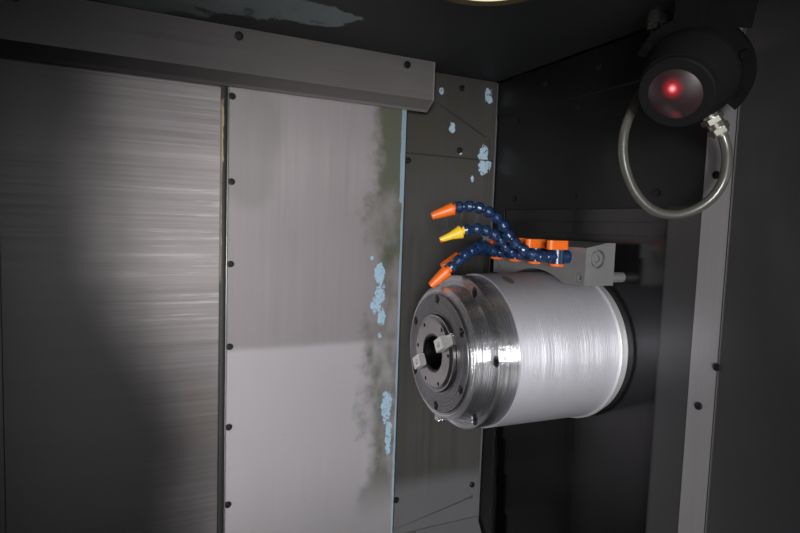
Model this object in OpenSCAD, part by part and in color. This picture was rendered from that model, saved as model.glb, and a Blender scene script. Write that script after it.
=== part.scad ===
// Horizontal machining centre: moving column, vertical head slide, table with a turning pallet,
// disc tool magazine with a swinging change arm. Millimetres, +Z up, spindle along X, nose towards -X.

/* [Overall] */
// Length over the chip conveyor and the electrical cabinet
overall_l = 2700; // [2700:10:2760]
// Width over the magazine cover and the operator panel
overall_w = 2100; // [2100:10:2140]
// Height to the top of the column housing
overall_h = 2500; // [2490:10:2600]

/* [Working area] */
// Height of the pallet face above the floor
pallet_h = 1050; // [1040:5:1060]
// Height of the spindle axis as the machine stands
spindle_h = 1610; // [1605:1:1615]
// Stroke of the column across the machine
x_stroke = 520; // [500:5:524]
// Distance of the table centre line from the middle of the machine
lane_y = -288; // [-290:1:-286]
// Spindle face to pallet centre with the table pulled back
nose_to_pallet = 700; // [690:5:705]
// Clear width of the working area
chamber_w = 932; // [930:1:940]
// Height of the ceiling of the working area
ceiling_h = 2035; // [2030:1:2045]
// Place of the column cover along the machine
cover_x = 76; // [74:1:78]
// Inner face of the front wall, back from the front of the machine
front_gap = 130; // [125:1:135]

/* [Sheet metal] */
// Thickness of the inner wall sheets
sheet_t = 3; // [2:0.5:3]
// Thickness of the sliding covers
slide_t = 2; // [1.5:0.5:2]
// Thickness of the outer box walls
skin_t = 30; // [25:1:34]
// Running gap between one sliding cover and the next
slide_gap = 0.7; // [0.6:0.1:0.8]

/* [Spindle nose] */
// Radius of the front cap
cap_r = 78.5; // [78:0.5:79]
// Thickness of the front cap
cap_t = 14; // [13:0.5:16]
// How far the cap stands in front of the flange boss
cap_proud = 2.4; // [2:0.1:3]
// Radius of the flange boss behind the cap
boss_r = 88; // [87:0.5:89]
// Radius of the boss at its front edge
boss_front_r = 83.2; // [82:0.2:84]
// Face of the cap to the front of the flange
boss_l = 29; // [28:0.5:30]
// Radius of the polished flange
flange_r = 102.4; // [102:0.1:103.2]
// Thickness of the polished flange
flange_t = 29.5; // [28:0.5:31]
// Radius of the blasted sleeve at its front
sleeve_r = 104.4; // [104:0.1:105]
// Radius of the rim at the back of the sleeve
sleeve_rim_r = 110; // [109.5:0.5:111]
// Face of the cap to the back of the sleeve
nose_reach = 222; // [221:0.5:223]
// Radius of the housing tube inside the sleeve
tube_r = 100; // [99:0.2:100.4]
// Radius of the spindle nose
nose_r = 44.45;
// Radius of the collar round the spindle nose
collar_r = 50.5; // [50:0.5:51]
// How far the spindle nose stands in front of the cap
nose_proud = 6.5; // [6:0.5:7.5]
// Radius of the taper at the gauge line
taper_r = 22.225;
// Length of the taper
taper_l = 65; // [64:1:68]
// Radius of the mouth of the taper
mouth_r = 27; // [26:0.5:28]
// Width of a drive key
key_w = 15.9; // [15:0.1:16]
// Height of a drive key above the nose
key_h = 8; // [7:0.5:9]
// Turn of the drive keys from level
key_angle = 32; // [0:1:60]
// Radius of the cap screw circle
cap_pcd_r = 70.6; // [70:0.2:71]
// Number of cap screws
cap_screws = 6; // [4:1:8]
// Radius of the flange screw circle
flange_pcd_r = 93.5; // [93:0.1:94]
// Number of flange screws
flange_screws = 6; // [4:1:6]
// Radius of the spindle in its bearings
journal_r = 35; // [34:0.5:36]
// Outer radius of the spindle bearings
bearing_r = 62; // [60:1:64]
// Width of one spindle bearing
bearing_w = 22; // [20:1:24]

/* [Coolant block and hoses] */
// Length of the coolant block across the sleeve
block_l = 201; // [200:1:203]
// Depth of the coolant block along the spindle
block_d = 50; // [49:0.5:51]
// Height of the ends of the coolant block
block_h = 56; // [55:0.5:57]
// Height of the underside of the block above the spindle axis
block_z = 97; // [96.5:0.5:98]
// Gap between the back of the block and the column cover
block_gap = 13.5; // [13:0.5:15]
// Offset of the block from the spindle axis
block_y = 4; // [3:0.5:5]
// Spacing of the coolant valves
valve_pitch = 44.5; // [44:0.5:45]
// Height of the valves above the underside of the block
valve_z = 35.7; // [35:0.1:36]
// Radius of a hose segment
segment_r = 7.8; // [7.7:0.1:7.9]
// Length of a hose segment from ball to ball
segment_l = 13.6; // [13.4:0.1:13.8]
// Radius of the ball of a hose segment
ball_r = 6.2; // [6.1:0.05:6.2]
// Length of a nozzle
nozzle_l = 36; // [34:0.5:38]
// Radius of the plug in a coolant valve
plug_r = 6.5; // [6:0.1:6.8]

/* [Probe receiver] */
// Radius of the ring round the receiver's window
receiver_r = 37; // [36:0.5:38]
// Radius of the receiver housing at its widest
receiver_wide_r = 47; // [46:0.5:47.5]
// Length of the receiver housing
receiver_l = 70; // [68:1:71]
// Radius of the domed window
window_r = 26; // [25:0.5:27]
// Radius of the flexible conduit
conduit_r = 5.4; // [5:0.1:5.5]

/* [Column cover] */
// Half width between the posts
post_in = 206; // [205:0.5:206.5]
// Width of a post
post_w = 35; // [34:0.5:36]
// Depth of the folded posts
post_d = 28; // [26:0.5:29]
// Half width of the sliding covers on the operator side
slide_w = 164; // [163:0.5:165]
// Width of the fixed wing beside each post
wing_w = 100; // [96:1:101]
// Height of the fixed upper panel's lower edge above the spindle axis
panel_low = 199; // [198:0.5:200]
// Height of the lintel's lower edge below the ceiling
lintel_h = 63; // [61:1:65]
// Height of one upper sliding cover
slide_h = 160; // [158:1:162]
// Height of the head plate above the spindle axis
plate_up = 280; // [278:1:284]
// Depth of the head plate below the spindle axis
plate_down = 208; // [207.5:0.5:208.5]
// Upward stroke of the head
y_up = 80;
// Downward stroke of the head
y_down = 440;

/* [Column and head] */
// Half width of the column
column_w = 320; // [318:1:324]
// Thickness of a column leg
leg_t = 145; // [140:1:147]
// Front of the column legs behind the cover
leg_x = 114; // [112:1:118]
// Depth of the column
column_d = 670; // [650:5:675]
// Top of the column legs
column_top = 2200; // [2180:5:2210]
// Height of the beam that joins the legs
beam_h = 110; // [100:5:115]
// Height of the column's foot
foot_h = 130; // [120:2:134]
// Half height of the head slide
head_h = 190; // [186:1:192]
// Half width of the head slide
head_w = 290; // [286:1:292]
// Half width of the head body
body_w = 158; // [155:1:160]
// Half height of the head body
body_h = 150; // [145:1:155]
// Length of the head body
body_l = 350; // [340:5:360]
// Length of the spindle motor housing
motor_l = 180; // [170:5:190]

/* [Bed and ways] */
// Height of the table ways
table_way_h = 640; // [635:1:645]
// Height of the column ways
column_way_h = 760; // [755:1:765]
// Half width of the front of the bed
bed_front_w = 300; // [295:1:310]
// Height of the bed above the floor
bed_low = 60; // [55:1:65]
// Height of a guide rail
rail_h = 34; // [32:1:36]
// Width of a guide rail
rail_w = 35; // [34:1:36]
// Half distance between the table rails
table_rail_y = 230; // [225:1:235]
// Radius of the levelling feet
foot_r = 55; // [50:1:60]
// Radius of a feed screw
feed_r = 20; // [18:1:22]

/* [Table] */
// Half length of the saddle
saddle_l = 250; // [245:1:252]
// Half width of the saddle
saddle_w = 290; // [285:1:295]
// Top of the saddle
saddle_top = 850; // [845:1:855]
// Radius of the rotary table
rotary_r = 235; // [230:1:240]
// Width of the pallet
pallet_w = 400; // [396:2:404]
// Thickness of the pallet
pallet_t = 55; // [50:1:58]
// Spacing of the pallet's tapped holes
grid_pitch = 80; // [76:1:84]
// Radius of a tapped hole
grid_r = 7; // [6.5:0.1:7.5]

/* [Far wall and shutter] */
// Left end of the shutter opening
opening_x0 = -628; // [-632:1:-624]
// Right end of the shutter opening
opening_x1 = -150; // [-152:1:-149]
// Height of the shutter opening's sill
opening_z0 = 1138; // [1134:1:1142]
// Width of the front leaf
leaf_w = 277; // [276:0.5:278]
// Width of the rear leaf
rear_leaf_w = 297; // [296:0.5:298]
// Right edge of the front leaf when shut
leaf_x = -113; // [-114:0.5:-112]
// Front face of the front leaf, out from the wall
leaf_out = 22; // [21.5:0.5:22.5]
// Step between the two leaves
leaf_step = 12; // [11.5:0.5:12]
// Depth of the guide cover, out from the wall
guide_d = 49; // [48:0.5:50]
// Height of the front of the guide cover
guide_h = 60; // [59:0.5:61]
// Right end of the guide cover
guide_x1 = -79; // [-81:1:-77]
// Lower edge of the column-side liner
liner_low = 1236; // [1234:1:1240]

/* [Tool changer] */
// Distance of the arm's shaft from the spindle axis
arm_r = 386; // [385:0.5:387]
// Thickness of the change arm
arm_t = 25; // [24:0.5:26]
// Gap between the arm and the gauge line
arm_gap = 22; // [20:1:24]
// Radius of the arm's shaft
arm_shaft_r = 30; // [28:1:32]
// Radius of the tool groove that the jaws hold
groove_r = 27; // [26:0.5:28]
// Radius of the pot circle
pot_ring_r = 320; // [316:1:324]
// Number of pots in the magazine
pots = 24; // [22:1:24]
// Radius of a pot
pot_r = 34; // [33:0.5:36]
// Length of a pot
pot_l = 85; // [82:1:88]
// Radius of the magazine's shaft
wheel_shaft_r = 40; // [38:1:42]

/* [Doors and panels] */
// Width of the operator door
door_w = 910; // [900:5:920]
// Height of the operator door
door_h = 1130; // [1120:5:1140]
// Thickness of the operator door
door_t = 36; // [34:1:38]
// Width of the door window
window_w = 560; // [540:10:600]
// Height of the door window
window_h = 640; // [620:10:680]
// Width of the operator panel
panel_w = 330; // [320:5:340]
// Height of the operator panel
panel_h = 600; // [580:10:620]
// Thickness of the operator panel
panel_t = 50; // [45:1:55]
// Radius of the emergency stop button
stop_r = 20; // [18:0.5:22]
// Radius of the stem of the emergency stop button
stop_stem_r = 7; // [6:0.5:8]
// Way that the emergency stop button goes in
stop_way = 4; // [3:0.5:4]
// Depth of the electrical cabinet
cabinet_d = 365; // [355:5:370]

/* [Fits] */
// Radial clearance of shafts in their bores
shaft_clear = 0.05; // [0.03:0.01:0.08]
// Gap between parts that slide past each other
run_gap = 0.5; // [0.4:0.1:0.7]
// Gap where one curved part sits on another
seat_gap = 0.3; // [0.2:0.05:0.35]
// Clearance of a ball in its socket
ball_clear = 0.2; // [0.15:0.05:0.25]

/* [Hidden] */
$fn = 48;
front_x = -overall_l/2;
back_x = overall_l/2;
far_out = overall_w/2;
near_out = -935;
spindle_y = lane_y + x_stroke/2;
far_y = lane_y + chamber_w/2;
near_y = lane_y - chamber_w/2;
front_in = front_x + front_gap;
nose_x = cover_x - nose_reach;
boss_x = nose_x + cap_proud;
flange_x = nose_x + boss_l;
sleeve_x = flange_x + flange_t;
nose_face = nose_x - nose_proud;
pallet_x = nose_x - nose_to_pallet;
roof_t = 30;
wall_end = cover_x - 2;
panel_x = 808;
panel_front = -overall_w/2 + 12;
panel_pin = [790, near_out - 62];
pin_lug = 12;
stop_at = [panel_x + 60, 1200];

// planes of the covers on the column, from the working area backwards
frame_x = cover_x + 0.5;
slide_step = slide_t + slide_gap;
upper_x = [for (i = [1:3]) frame_x + sheet_t + slide_gap + (i - 1)*slide_step];
plate_x = upper_x[2] + slide_step;
lower_x = [for (i = [1:3]) plate_x + sheet_t + slide_gap + (i - 1)*slide_step];
apron_x = lower_x[2] + slide_step;
slide_low = [181, 163, 135];
// lower and upper edges of the sliding covers below the head, from the spindle axis
lower_low = [-272, -346, -605];
lower_top = [-185, -251, -324];
panel_z = spindle_h + panel_low;
frame_low = 780;
sill_h = 30;
apron_top = spindle_h - 552;
cover_y0 = spindle_y - slide_w;
cover_y1 = spindle_y + slide_w + 12;
neck_h = 95;
lamp_x = -183;
lamp_y = -173;
neck_x = plate_x + sheet_t + seat_gap;
magazine_x0 = -640;
legs_x = cover_x + leg_x;
slide_x = cover_x + 34;
block_x = cover_x - block_gap - block_d;
block_low = spindle_h + block_z;
port_z = block_low + valve_z;
port_y = [for (i = [0:3]) spindle_y + block_y + (i - 1.5)*valve_pitch];
column_base = column_way_h + rail_h + 6;
cabinet_x = back_x - cabinet_d;
housing_x = cabinet_x - seat_gap;
bed_x = cover_x + 1;
rail_x = [250, 780];
arm_x = nose_face - arm_gap - arm_t;
arm_y = spindle_y + arm_r;
wheel_y = arm_y + arm_r;
pot_x = nose_face + pot_l - 12;
wheel_x = pot_x + pot_ring_r;
far_in = 345;
door_x = -170;
door_z = 880;
door_y = near_out - 4;

// hose postures: turn towards +Y and rise, one pair for each segment
hose_turn = [
    [0, 9, 18, 28, 41, 56, 54, 47, 40, 34, 28],
    [0, -3, -7, -12, 3, 7, 11, 15],
    [0, -1, -16, -28, -28, -22, -9, -2, 2],
    [0, -15, -12, 0]];
hose_rise = [
    [0, 13, 25, 38, 50, 58, 46, 33, 20, 6, -8],
    [0, 15, 29, 43, 34, 20, 6, -9],
    [0, 14, 16, 8, -6, -19, -27, -36, -40],
    [0, 3, -10, -22]];
nozzle_turn = [21, 20, 16, 15];
nozzle_rise = [-21, -23, -43, -29];

// free conduit from the receiver's gland to the ceiling
conduit_route = [
    [47.9, -266.6, 1891.2], [53.6, -268, 1884.4], [57.5, -271, 1871], [57.5, -273, 1856],
    [54.5, -272.5, 1836], [48, -266, 1818], [38, -254, 1805], [26, -238, 1799], [13, -221, 1804],
    [1.5, -207.5, 1821], [-6, -199, 1844], [-10, -195, 1868], [-8.5, -194, 1892], [0, -193, 1912],
    [13, -190, 1930], [27, -186, 1948], [36, -184, 1968], [40, -184, 1990], [41, -184, 2008],
    [41, -184, 2021]];

steel = [0.62, 0.63, 0.65];
dark_steel = [0.30, 0.31, 0.33];
paint = [0.78, 0.80, 0.82];
accent = [0.36, 0.47, 0.55];
cast = [0.42, 0.47, 0.50];

// a block given by its two corners
module block(a, b) {
    translate(a) cube(b - a);
}

// a cylinder along X from x0 to x1 on the spindle axis
module round_x(x0, x1, r, r2 = undef) {
    translate([x0, spindle_y, spindle_h]) rotate([0, 90, 0])
        cylinder(h = x1 - x0, r1 = r, r2 = is_undef(r2) ? r : r2, $fn = 96);
}

// places its children on a circle round the spindle axis, 0 towards the operator, 90 upwards
module on_ring(r, angle) {
    translate([0, spindle_y - r*cos(angle), spindle_h + r*sin(angle)]) children();
}

// a cylinder along X at its own place
module pin_x(x0, x1, r) {
    translate([x0, 0, 0]) rotate([0, 90, 0]) cylinder(h = x1 - x0, r = r);
}

// a cylinder along Y at its own place
module pin_y(y0, y1, r) {
    translate([0, y0, 0]) rotate([-90, 0, 0]) cylinder(h = y1 - y0, r = r);
}

// the waisted section of a guide rail, standing on its foot
module rail_section() {
    w = rail_w/2;
    polygon([[-w, 0], [w, 0], [w, rail_h*0.35], [w - 4, rail_h*0.5], [w - 4, rail_h*0.66],
        [w, rail_h*0.8], [w - 1, rail_h], [1 - w, rail_h], [-w, rail_h*0.8],
        [4 - w, rail_h*0.66], [4 - w, rail_h*0.5], [-w, rail_h*0.35]]);
}

// a runner block that wraps a rail, its rail along Z of the section
module runner_section() {
    w = rail_w/2 + run_gap;
    difference() {
        translate([-rail_w, rail_h*0.3]) square([2*rail_w, rail_h*0.7 + 14]);
        translate([-w, -1]) square([2*w, rail_h + 1 + run_gap]);
    }
}

module bed() {
    color(cast) difference() {
        union() {
            // front part under the table, its flanks sloped to shed chips
            translate([front_in + 80, lane_y, 0]) rotate([90, 0, 90])
                linear_extrude(height = bed_x - front_in - 80)
                polygon([[-bed_front_w - 60, bed_low], [bed_front_w + 60, bed_low],
                    [bed_front_w, table_way_h], [-bed_front_w, table_way_h]]);
            // rear part under the column
            block([bed_x, -880, bed_low], [housing_x - skin_t - seat_gap, 325, column_way_h]);
        }
        // trough for the table's feed screw
        block([front_in, lane_y - 75, table_way_h - 90], [0, lane_y + 75, table_way_h + 1]);
        // trough for the column's feed screw
        block([440, -900, column_way_h - 90], [600, 340, column_way_h + 1]);
        // cored pockets along the flanks
        for (y = [-700:280:200])
            block([700, y - 90, 200], [housing_x, y + 90, 560]);
        for (x = [150:270:700])
            block([x, -881, 200], [x + 180, -720, 560]);
        // relief under the middle
        block([-700, lane_y - 180, bed_low - 1], [700, lane_y + 180, bed_low + 90]);
    }
}

module levelling_feet() {
    color(dark_steel)
    for (p = [[-1020, -560], [-1020, -16], [-480, -560], [-480, -16], [160, -800], [160, 240],
              [860, -800], [860, 240]])
        translate([p[0], p[1], 0]) {
            cylinder(h = bed_low*0.4, r = foot_r);
            cylinder(h = bed_low - seat_gap, r = foot_r*0.4);
            translate([0, 0, bed_low*0.62]) cylinder(h = bed_low*0.2, r = foot_r*0.6, $fn = 6);
        }
}

// sheet trough on both sides of the table ways, with slopes from the walls
module chip_pan() {
    floor_z = 520;
    for (side = [-1, 1]) {
        wall = side < 0 ? near_y : far_y;
        color(steel) translate([front_in + 1, 0, 0]) rotate([90, 0, 90])
            linear_extrude(height = 59 - front_in - 1)
            polygon([
                [wall - side*1, 900], [wall - side*(1 + sheet_t), 900],
                [wall - side*(1 + sheet_t), 700],
                [wall - side*45, floor_z + sheet_t], [lane_y + side*(bed_front_w + 24), floor_z + sheet_t],
                [lane_y + side*(bed_front_w + 14), table_way_h + 3],
                [lane_y + side*(bed_front_w - 20), table_way_h + 3],
                [lane_y + side*(bed_front_w - 20), table_way_h + 0.3],
                [lane_y + side*(bed_front_w + 11), table_way_h + 0.3],
                [lane_y + side*(bed_front_w + 21), floor_z], [wall - side*42, floor_z],
                [wall - side*1, 700]]);
    }
}

// guide rails of the table and the column, with their feed screws and motors
module base_ways() {
    color(steel) {
        for (s = [-1, 1])
            translate([front_in + 95, lane_y + s*table_rail_y, table_way_h])
                rotate([90, 0, 90]) linear_extrude(height = -front_in - 95) rail_section();
        for (x = rail_x)
            translate([x, 305, column_way_h]) rotate([90, 0, 0])
                linear_extrude(height = 1175) rail_section();
    }
    feed_drives();
}

// a motor with a square flange, its shaft along +Z
module motor(size, length) {
    translate([-size/2, -size/2, 0]) cube([size, size, length*0.12]);
    translate([0, 0, length*0.12]) cylinder(h = length*0.66, r = size*0.46, $fn = 8);
    translate([-size*0.4, -size*0.4, length*0.78]) cube([size*0.8, size*0.8, length*0.22]);
}

module feed_drives() {
    screw_z = table_way_h - 30;
    cross_z = column_way_h - 30;
    // table screw with its end blocks and motor
    color(steel) translate([0, lane_y, screw_z]) {
        pin_x(front_in + 95, -20, feed_r);
        for (x = [front_in + 110, -80]) difference() {
            block([x, -60, seat_gap - 60], [x + 50, 60, 28]);
            pin_x(x - 1, x + 51, feed_r + shaft_clear);
        }
    }
    color(dark_steel) translate([front_in + 99, lane_y, screw_z]) rotate([0, -90, 0]) motor(80, 90);
    // column screw with its end blocks and motor
    color(steel) translate([520, 0, cross_z]) {
        pin_y(-880, 305, feed_r);
        for (y = [-870, 230]) difference() {
            block([-70, y, seat_gap - 60], [70, y + 50, 28]);
            pin_y(y - 1, y + 51, feed_r + shaft_clear);
        }
    }
    color(dark_steel) translate([520, 300.5, cross_z]) rotate([-90, 0, 0]) motor(50, 40);
}

// wall beside the tool changer, with the shutter opening and its sill
module far_wall() {
    back_y = far_y + sheet_t;
    color(steel) {
        difference() {
            block([front_in, back_y + 0.5, 900], [wall_end, back_y + 0.5 + sheet_t, ceiling_h - 1]);
            block([opening_x0, back_y, opening_z0], [opening_x1, back_y + 9, ceiling_h - 90]);
        }
        // sill with the lower track of the leaves
        block([front_in, far_y - guide_d + 12, opening_z0 - 12], [opening_x1 + 90, back_y + 0.5, opening_z0 - 9]);
    }
    color(paint) difference() {
        block([front_in - 60, back_y + 0.5 + sheet_t, 100], [magazine_x0 - seat_gap, far_y + 72, ceiling_h + roof_t]);
        block([front_in - 61, back_y, 99], [front_in + 81, far_y + 73, 540]);
    }
}

module far_wall_liner() {
    color(steel) difference() {
        block([opening_x1, far_y, liner_low], [wall_end, far_y + sheet_t, ceiling_h - 1]);
        for (z = [liner_low + 40, liner_low + 340, ceiling_h - 100])
            translate([wall_end - 15, 0, z]) pin_y(far_y - 1, far_y + sheet_t + 1, 3.3);
    }
    // sloped chute below the liner
    color(dark_steel) translate([opening_x1 + 95, 0, 0]) rotate([90, 0, 90])
        linear_extrude(height = wall_end - opening_x1 - 95)
        polygon([[far_y, liner_low - 0.5], [far_y + sheet_t, liner_low - 0.5],
            [far_y + sheet_t - 40, liner_low - 60], [far_y - 40, liner_low - 60]]);
}

// folded cover over the leaves' top track
module shutter_guide() {
    low = ceiling_h - guide_h;
    out = far_y - guide_d;
    lip = out + 23;
    color(steel) {
        translate([front_in + 1, 0, 0]) rotate([90, 0, 90])
            linear_extrude(height = guide_x1 - front_in - 1)
            polygon([[out, ceiling_h - 0.5], [out, low], [lip, low - 15], [lip, low - 15 + sheet_t],
                [out + sheet_t, low + sheet_t*0.6], [out + sheet_t, ceiling_h - 0.5 - sheet_t],
                [far_y - 0.3, ceiling_h - 0.5 - sheet_t], [far_y - 0.3, ceiling_h - 0.5]]);
        // fins that guide the leaves
        for (k = [0, 1]) {
            y = far_y - leaf_out + k*leaf_step;
            for (f = [y - run_gap - 2, y + slide_t + run_gap])
                block([front_in + 2, f, ceiling_h - 24],
                      [guide_x1 - 2, f + 2, ceiling_h - 0.5 - sheet_t]);
        }
        block([guide_x1 - sheet_t, out + sheet_t, low + 2],
              [guide_x1, far_y - leaf_out - run_gap - 2, ceiling_h - 0.5 - sheet_t]);
    }
}

// one sliding leaf: sheet with folded edges, right edge at x1
module leaf(x1, w, y, low, top) {
    color(steel) {
        block([x1 - w, y, low], [x1, y + slide_t, top]);
        for (x = [x1 - w, x1 - slide_t])
            block([x, y + slide_t, low], [x + slide_t, y + 9, ceiling_h - 95]);
    }
}

module front_leaf() {
    leaf(leaf_x, leaf_w, far_y - leaf_out, opening_z0 - 9 + run_gap, ceiling_h - 5);
}

module rear_leaf() {
    leaf(leaf_x - leaf_w + 30, rear_leaf_w, far_y - leaf_out + leaf_step, opening_z0 - 9 + run_gap,
         ceiling_h - 5);
}

module chamber_ceiling() {
    color(dark_steel) difference() {
        block([front_in, near_y, ceiling_h], [wall_end, far_y + 2*sheet_t + 0.5, ceiling_h + roof_t]);
        // seat of the work light
        translate([lamp_x, lamp_y, ceiling_h - 1]) cylinder(h = roof_t + 2, r = 60);
    }
}

// thick operator-side wall with the door opening, and the front wall
module enclosure_front() {
    opening_w = door_w - 20;
    color(paint) {
        difference() {
            block([front_in - 60, near_out, 100], [wall_end, near_y, ceiling_h + roof_t]);
            block([door_x - opening_w, near_out - 1, 900], [door_x, near_y + 1, 1990]);
            // splayed jamb on the working side
            translate([door_x - opening_w - 40, near_y + 1, 860]) rotate([0, 0, 0])
                cube([opening_w + 80, 0.5, 1170]);
            block([-900, near_out - 1, 99], [-200, near_out + 70, 180]);
        }
        difference() {
            block([front_in - 60, near_y, 600], [front_in, far_y + sheet_t, ceiling_h + roof_t]);
            block([front_in - 61, lane_y - 180, 1250], [front_in - 40, lane_y + 180, 1750]);
        }
    }
    // upper rail of the door
    color(steel) block([front_in - 60, near_out - 22, 2014], [wall_end, near_out, 2030]);
}

// box round the column, open towards the working area and at the floor
module column_housing() {
    low = 100;
    front = wall_end + seat_gap;
    near_in = near_out + skin_t;
    color(paint) {
        // operator side
        block([front, near_out, low], [housing_x, near_in, overall_h]);
        // magazine side
        block([front, far_in + 0.5, 1000], [housing_x, far_in + skin_t, overall_h]);
        // roof
        block([front, near_in, overall_h - skin_t], [housing_x, far_in + 0.5, overall_h]);
        // back
        block([housing_x - skin_t, near_in, low], [housing_x, far_in + 0.5, overall_h - skin_t]);
        // front wall above the working area
        block([front, near_in, ceiling_h + roof_t + 5], [front + skin_t, far_in + 0.5, overall_h - skin_t]);
    }
    color(steel) {
        block([front, near_out - 22, 2014], [760, near_out, 2030]);
        // brackets and pin of the operator panel
        for (z = [1300, 1560])
            block([panel_pin[0] - pin_lug, panel_pin[1] - pin_lug, z], [panel_pin[0] + pin_lug, near_out, z + 20]);
        translate([panel_pin[0], panel_pin[1], 1290]) cylinder(h = 300, r = 8);
    }
}

module magazine_housing() {
    x0 = magazine_x0;
    x1 = 740;
    low = 900;
    top = 2200;
    y0 = far_in + skin_t + seat_gap;
    wall_y = far_y + 2*sheet_t + 0.5 + seat_gap;
    color(paint) {
        // outer side with its window opening
        difference() {
            block([x0, far_out - skin_t, low], [x1, far_out, top]);
            block([wheel_x - 260, far_out - skin_t - 1, spindle_h - 260],
                  [wheel_x + 260, far_out + 1, spindle_h + 260]);
        }
        block([x0, wall_y, low], [x0 + skin_t, far_out - skin_t, top]);
        block([x1 - skin_t, y0, low], [x1, far_out - skin_t, top]);
        // roof, and the wall above the working area's ceiling
        block([x0 + skin_t - 1, wall_y, top - skin_t], [wall_end, far_out - skin_t, top]);
        block([wall_end - 1, y0, top - skin_t], [x1 - skin_t, far_out - skin_t, top]);
        block([x0 + skin_t - 1, wall_y, ceiling_h - 20], [wall_end, wall_y + skin_t, top - skin_t + 1]);
        // skirt below the far wall
        block([x0, wall_y, 100], [wall_end, wall_y + skin_t, low + 1]);
        // floor with room for the two stands
        difference() {
            union() {
                block([x0 + skin_t - 1, y0, low], [x1 - skin_t + 1, far_out - skin_t, low + skin_t]);
                block([x0 + skin_t - 1, wall_y, low], [wall_end, y0 + 1, low + skin_t]);
            }
            block([wheel_x - 60 - seat_gap, wheel_y - 180 - seat_gap, low - 1],
                  [wheel_x + 60 + seat_gap, wheel_y - 100 + seat_gap, low + skin_t + 1]);
            block([-80, arm_y - 60, low - 1], [60, arm_y + 60, low + skin_t + 1]);
        }
        // legs
        for (x = [x0 + 10, x1 - 90], y = [far_out - 110])
            block([x, y, 0], [x + 80, y + 80, low]);
    }
}

// post that carries the magazine's shaft
module magazine_stand() {
    color(cast) difference() {
        union() {
            block([wheel_x - 60, wheel_y - 180, 20], [wheel_x + 60, wheel_y - 100, spindle_h + 90]);
            block([wheel_x - 150, wheel_y - 240, 0], [wheel_x + 150, wheel_y - 40, 20]);
            translate([wheel_x, 0, spindle_h]) pin_y(wheel_y - 200, wheel_y - 60, 75);
        }
        translate([wheel_x, 0, spindle_h]) pin_y(wheel_y - 201, wheel_y - 59, wheel_shaft_r + shaft_clear);
    }
}

// gearbox of the change arm on its own stand
module atc_drive_box() {
    color(cast) difference() {
        union() {
            block([arm_x + 80, arm_y - 60, spindle_h - 80], [wall_end, arm_y + 60, spindle_h + 80]);
            translate([0, arm_y, spindle_h]) pin_x(arm_x + 60, arm_x + 80, 55);
            block([-60, arm_y - 40, 20], [40, arm_y + 40, spindle_h - 80]);
            block([-120, arm_y - 100, 0], [60, arm_y + 100, 20]);
        }
        translate([0, arm_y, spindle_h]) pin_x(arm_x + 59, 30, arm_shaft_r + shaft_clear);
    }
}

module electrical_cabinet() {
    y0 = -880;
    y1 = 340;
    color(paint) difference() {
        block([cabinet_x, y0, 80], [back_x - 30.5, y1, 2150]);
        block([cabinet_x + 20, y0 + 20, 110], [back_x - 29, y1 - 20, 2120]);
    }
    // mounting plate with its devices
    color(steel) block([cabinet_x + 20.3, y0 + 60, 200], [cabinet_x + 25, y1 - 60, 2050]);
    color(dark_steel) {
        for (z = [400, 900, 1400], y = [-780:190:200])
            block([cabinet_x + 25.3, y, z], [cabinet_x + 190, y + 130, z + 320]);
        block([cabinet_x, y0, 0], [back_x - 30.5, y0 + 80, 79.7]);
        block([cabinet_x, y1 - 80, 0], [back_x - 30.5, y1, 79.7]);
    }
}

module cabinet_door() {
    y0 = -880;
    y1 = 340;
    color(paint) {
        block([back_x - 30, y0 + 2, 100], [back_x, y1, 2140]);
        translate([back_x - 15, y0 + 2, 0]) {
            for (z = [300, 1800]) translate([0, 0, z]) cylinder(h = 80, r = 12);
        }
    }
}

// cross conveyor that climbs to its outlet beside the front wall
module chip_conveyor() {
    x0 = front_x;
    w = front_gap + 80 - seat_gap;
    color(accent) difference() {
        translate([x0, 0, 0]) rotate([90, 0, 90]) linear_extrude(height = w)
            polygon([[near_y + 4, 250], [330, 250], [640, 860], [800, 860], [800, 1060], [560, 1060],
                [230, 480], [near_y + 4, 480]]);
        // open top below the troughs
        block([x0 + 20, near_y + 20, 300], [x0 + w - 20, 160, 481]);
        block([x0 + 20, 700, 859], [x0 + w - 20, 780, 900]);
    }
    // coolant tank below
    color(paint) block([x0 + 5, near_y + 4, 40], [x0 + w, 640, 246]);
    color(dark_steel) for (y = [-720, 560]) block([x0 + 30, y, 0], [x0 + w - 30, y + 60, 39.7]);
}

module work_light() {
    color("white") {
        translate([lamp_x, lamp_y, ceiling_h - 6]) cylinder(h = 6 - 0.3, r = 72);
        translate([lamp_x, lamp_y, ceiling_h - 0.3]) cylinder(h = roof_t, r = 59.5);
    }
}

// the receiver's own frame: +Z out of its window, +Y up along its face
module at_receiver() {
    translate([-21, -267, 1917]) rotate([126.72, 12.62, -61.83]) children();
}

// bracket behind the receiver: a cut ring with two ears and a neck up to the ceiling
module receiver_yoke() {
    ring_r = 58.5;
    color(steel) {
        at_receiver() difference() {
            translate([0, 0, -54]) cylinder(h = 5, r = ring_r);
            translate([0, 0, -55]) cylinder(h = 7, r = receiver_wide_r + seat_gap);
            translate([0, 0, -55]) linear_extrude(height = 7)
                polygon([[0, 0], for (a = [165:26:321]) 90*[cos(a), sin(a)], 90*[cos(324), sin(324)]]);
        }
        intersection() {
            at_receiver() block([-24, 49, -54], [46, 130, -49]);
            block([-120, -420, 1900], [60, -150, ceiling_h - 7]);
        }
        block([-78, -352, ceiling_h - 8], [36, -252, ceiling_h - seat_gap]);
        // bolts through the bracket and their bosses
        at_receiver() for (a = [28, 150]) rotate([0, 0, a]) translate([53, 0, -60]) {
            cylinder(h = 14, r = 3.4);
            translate([0, 0, 11.1]) cylinder(h = 4, r = 5.4, $fn = 6);
        }
    }
}

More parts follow.
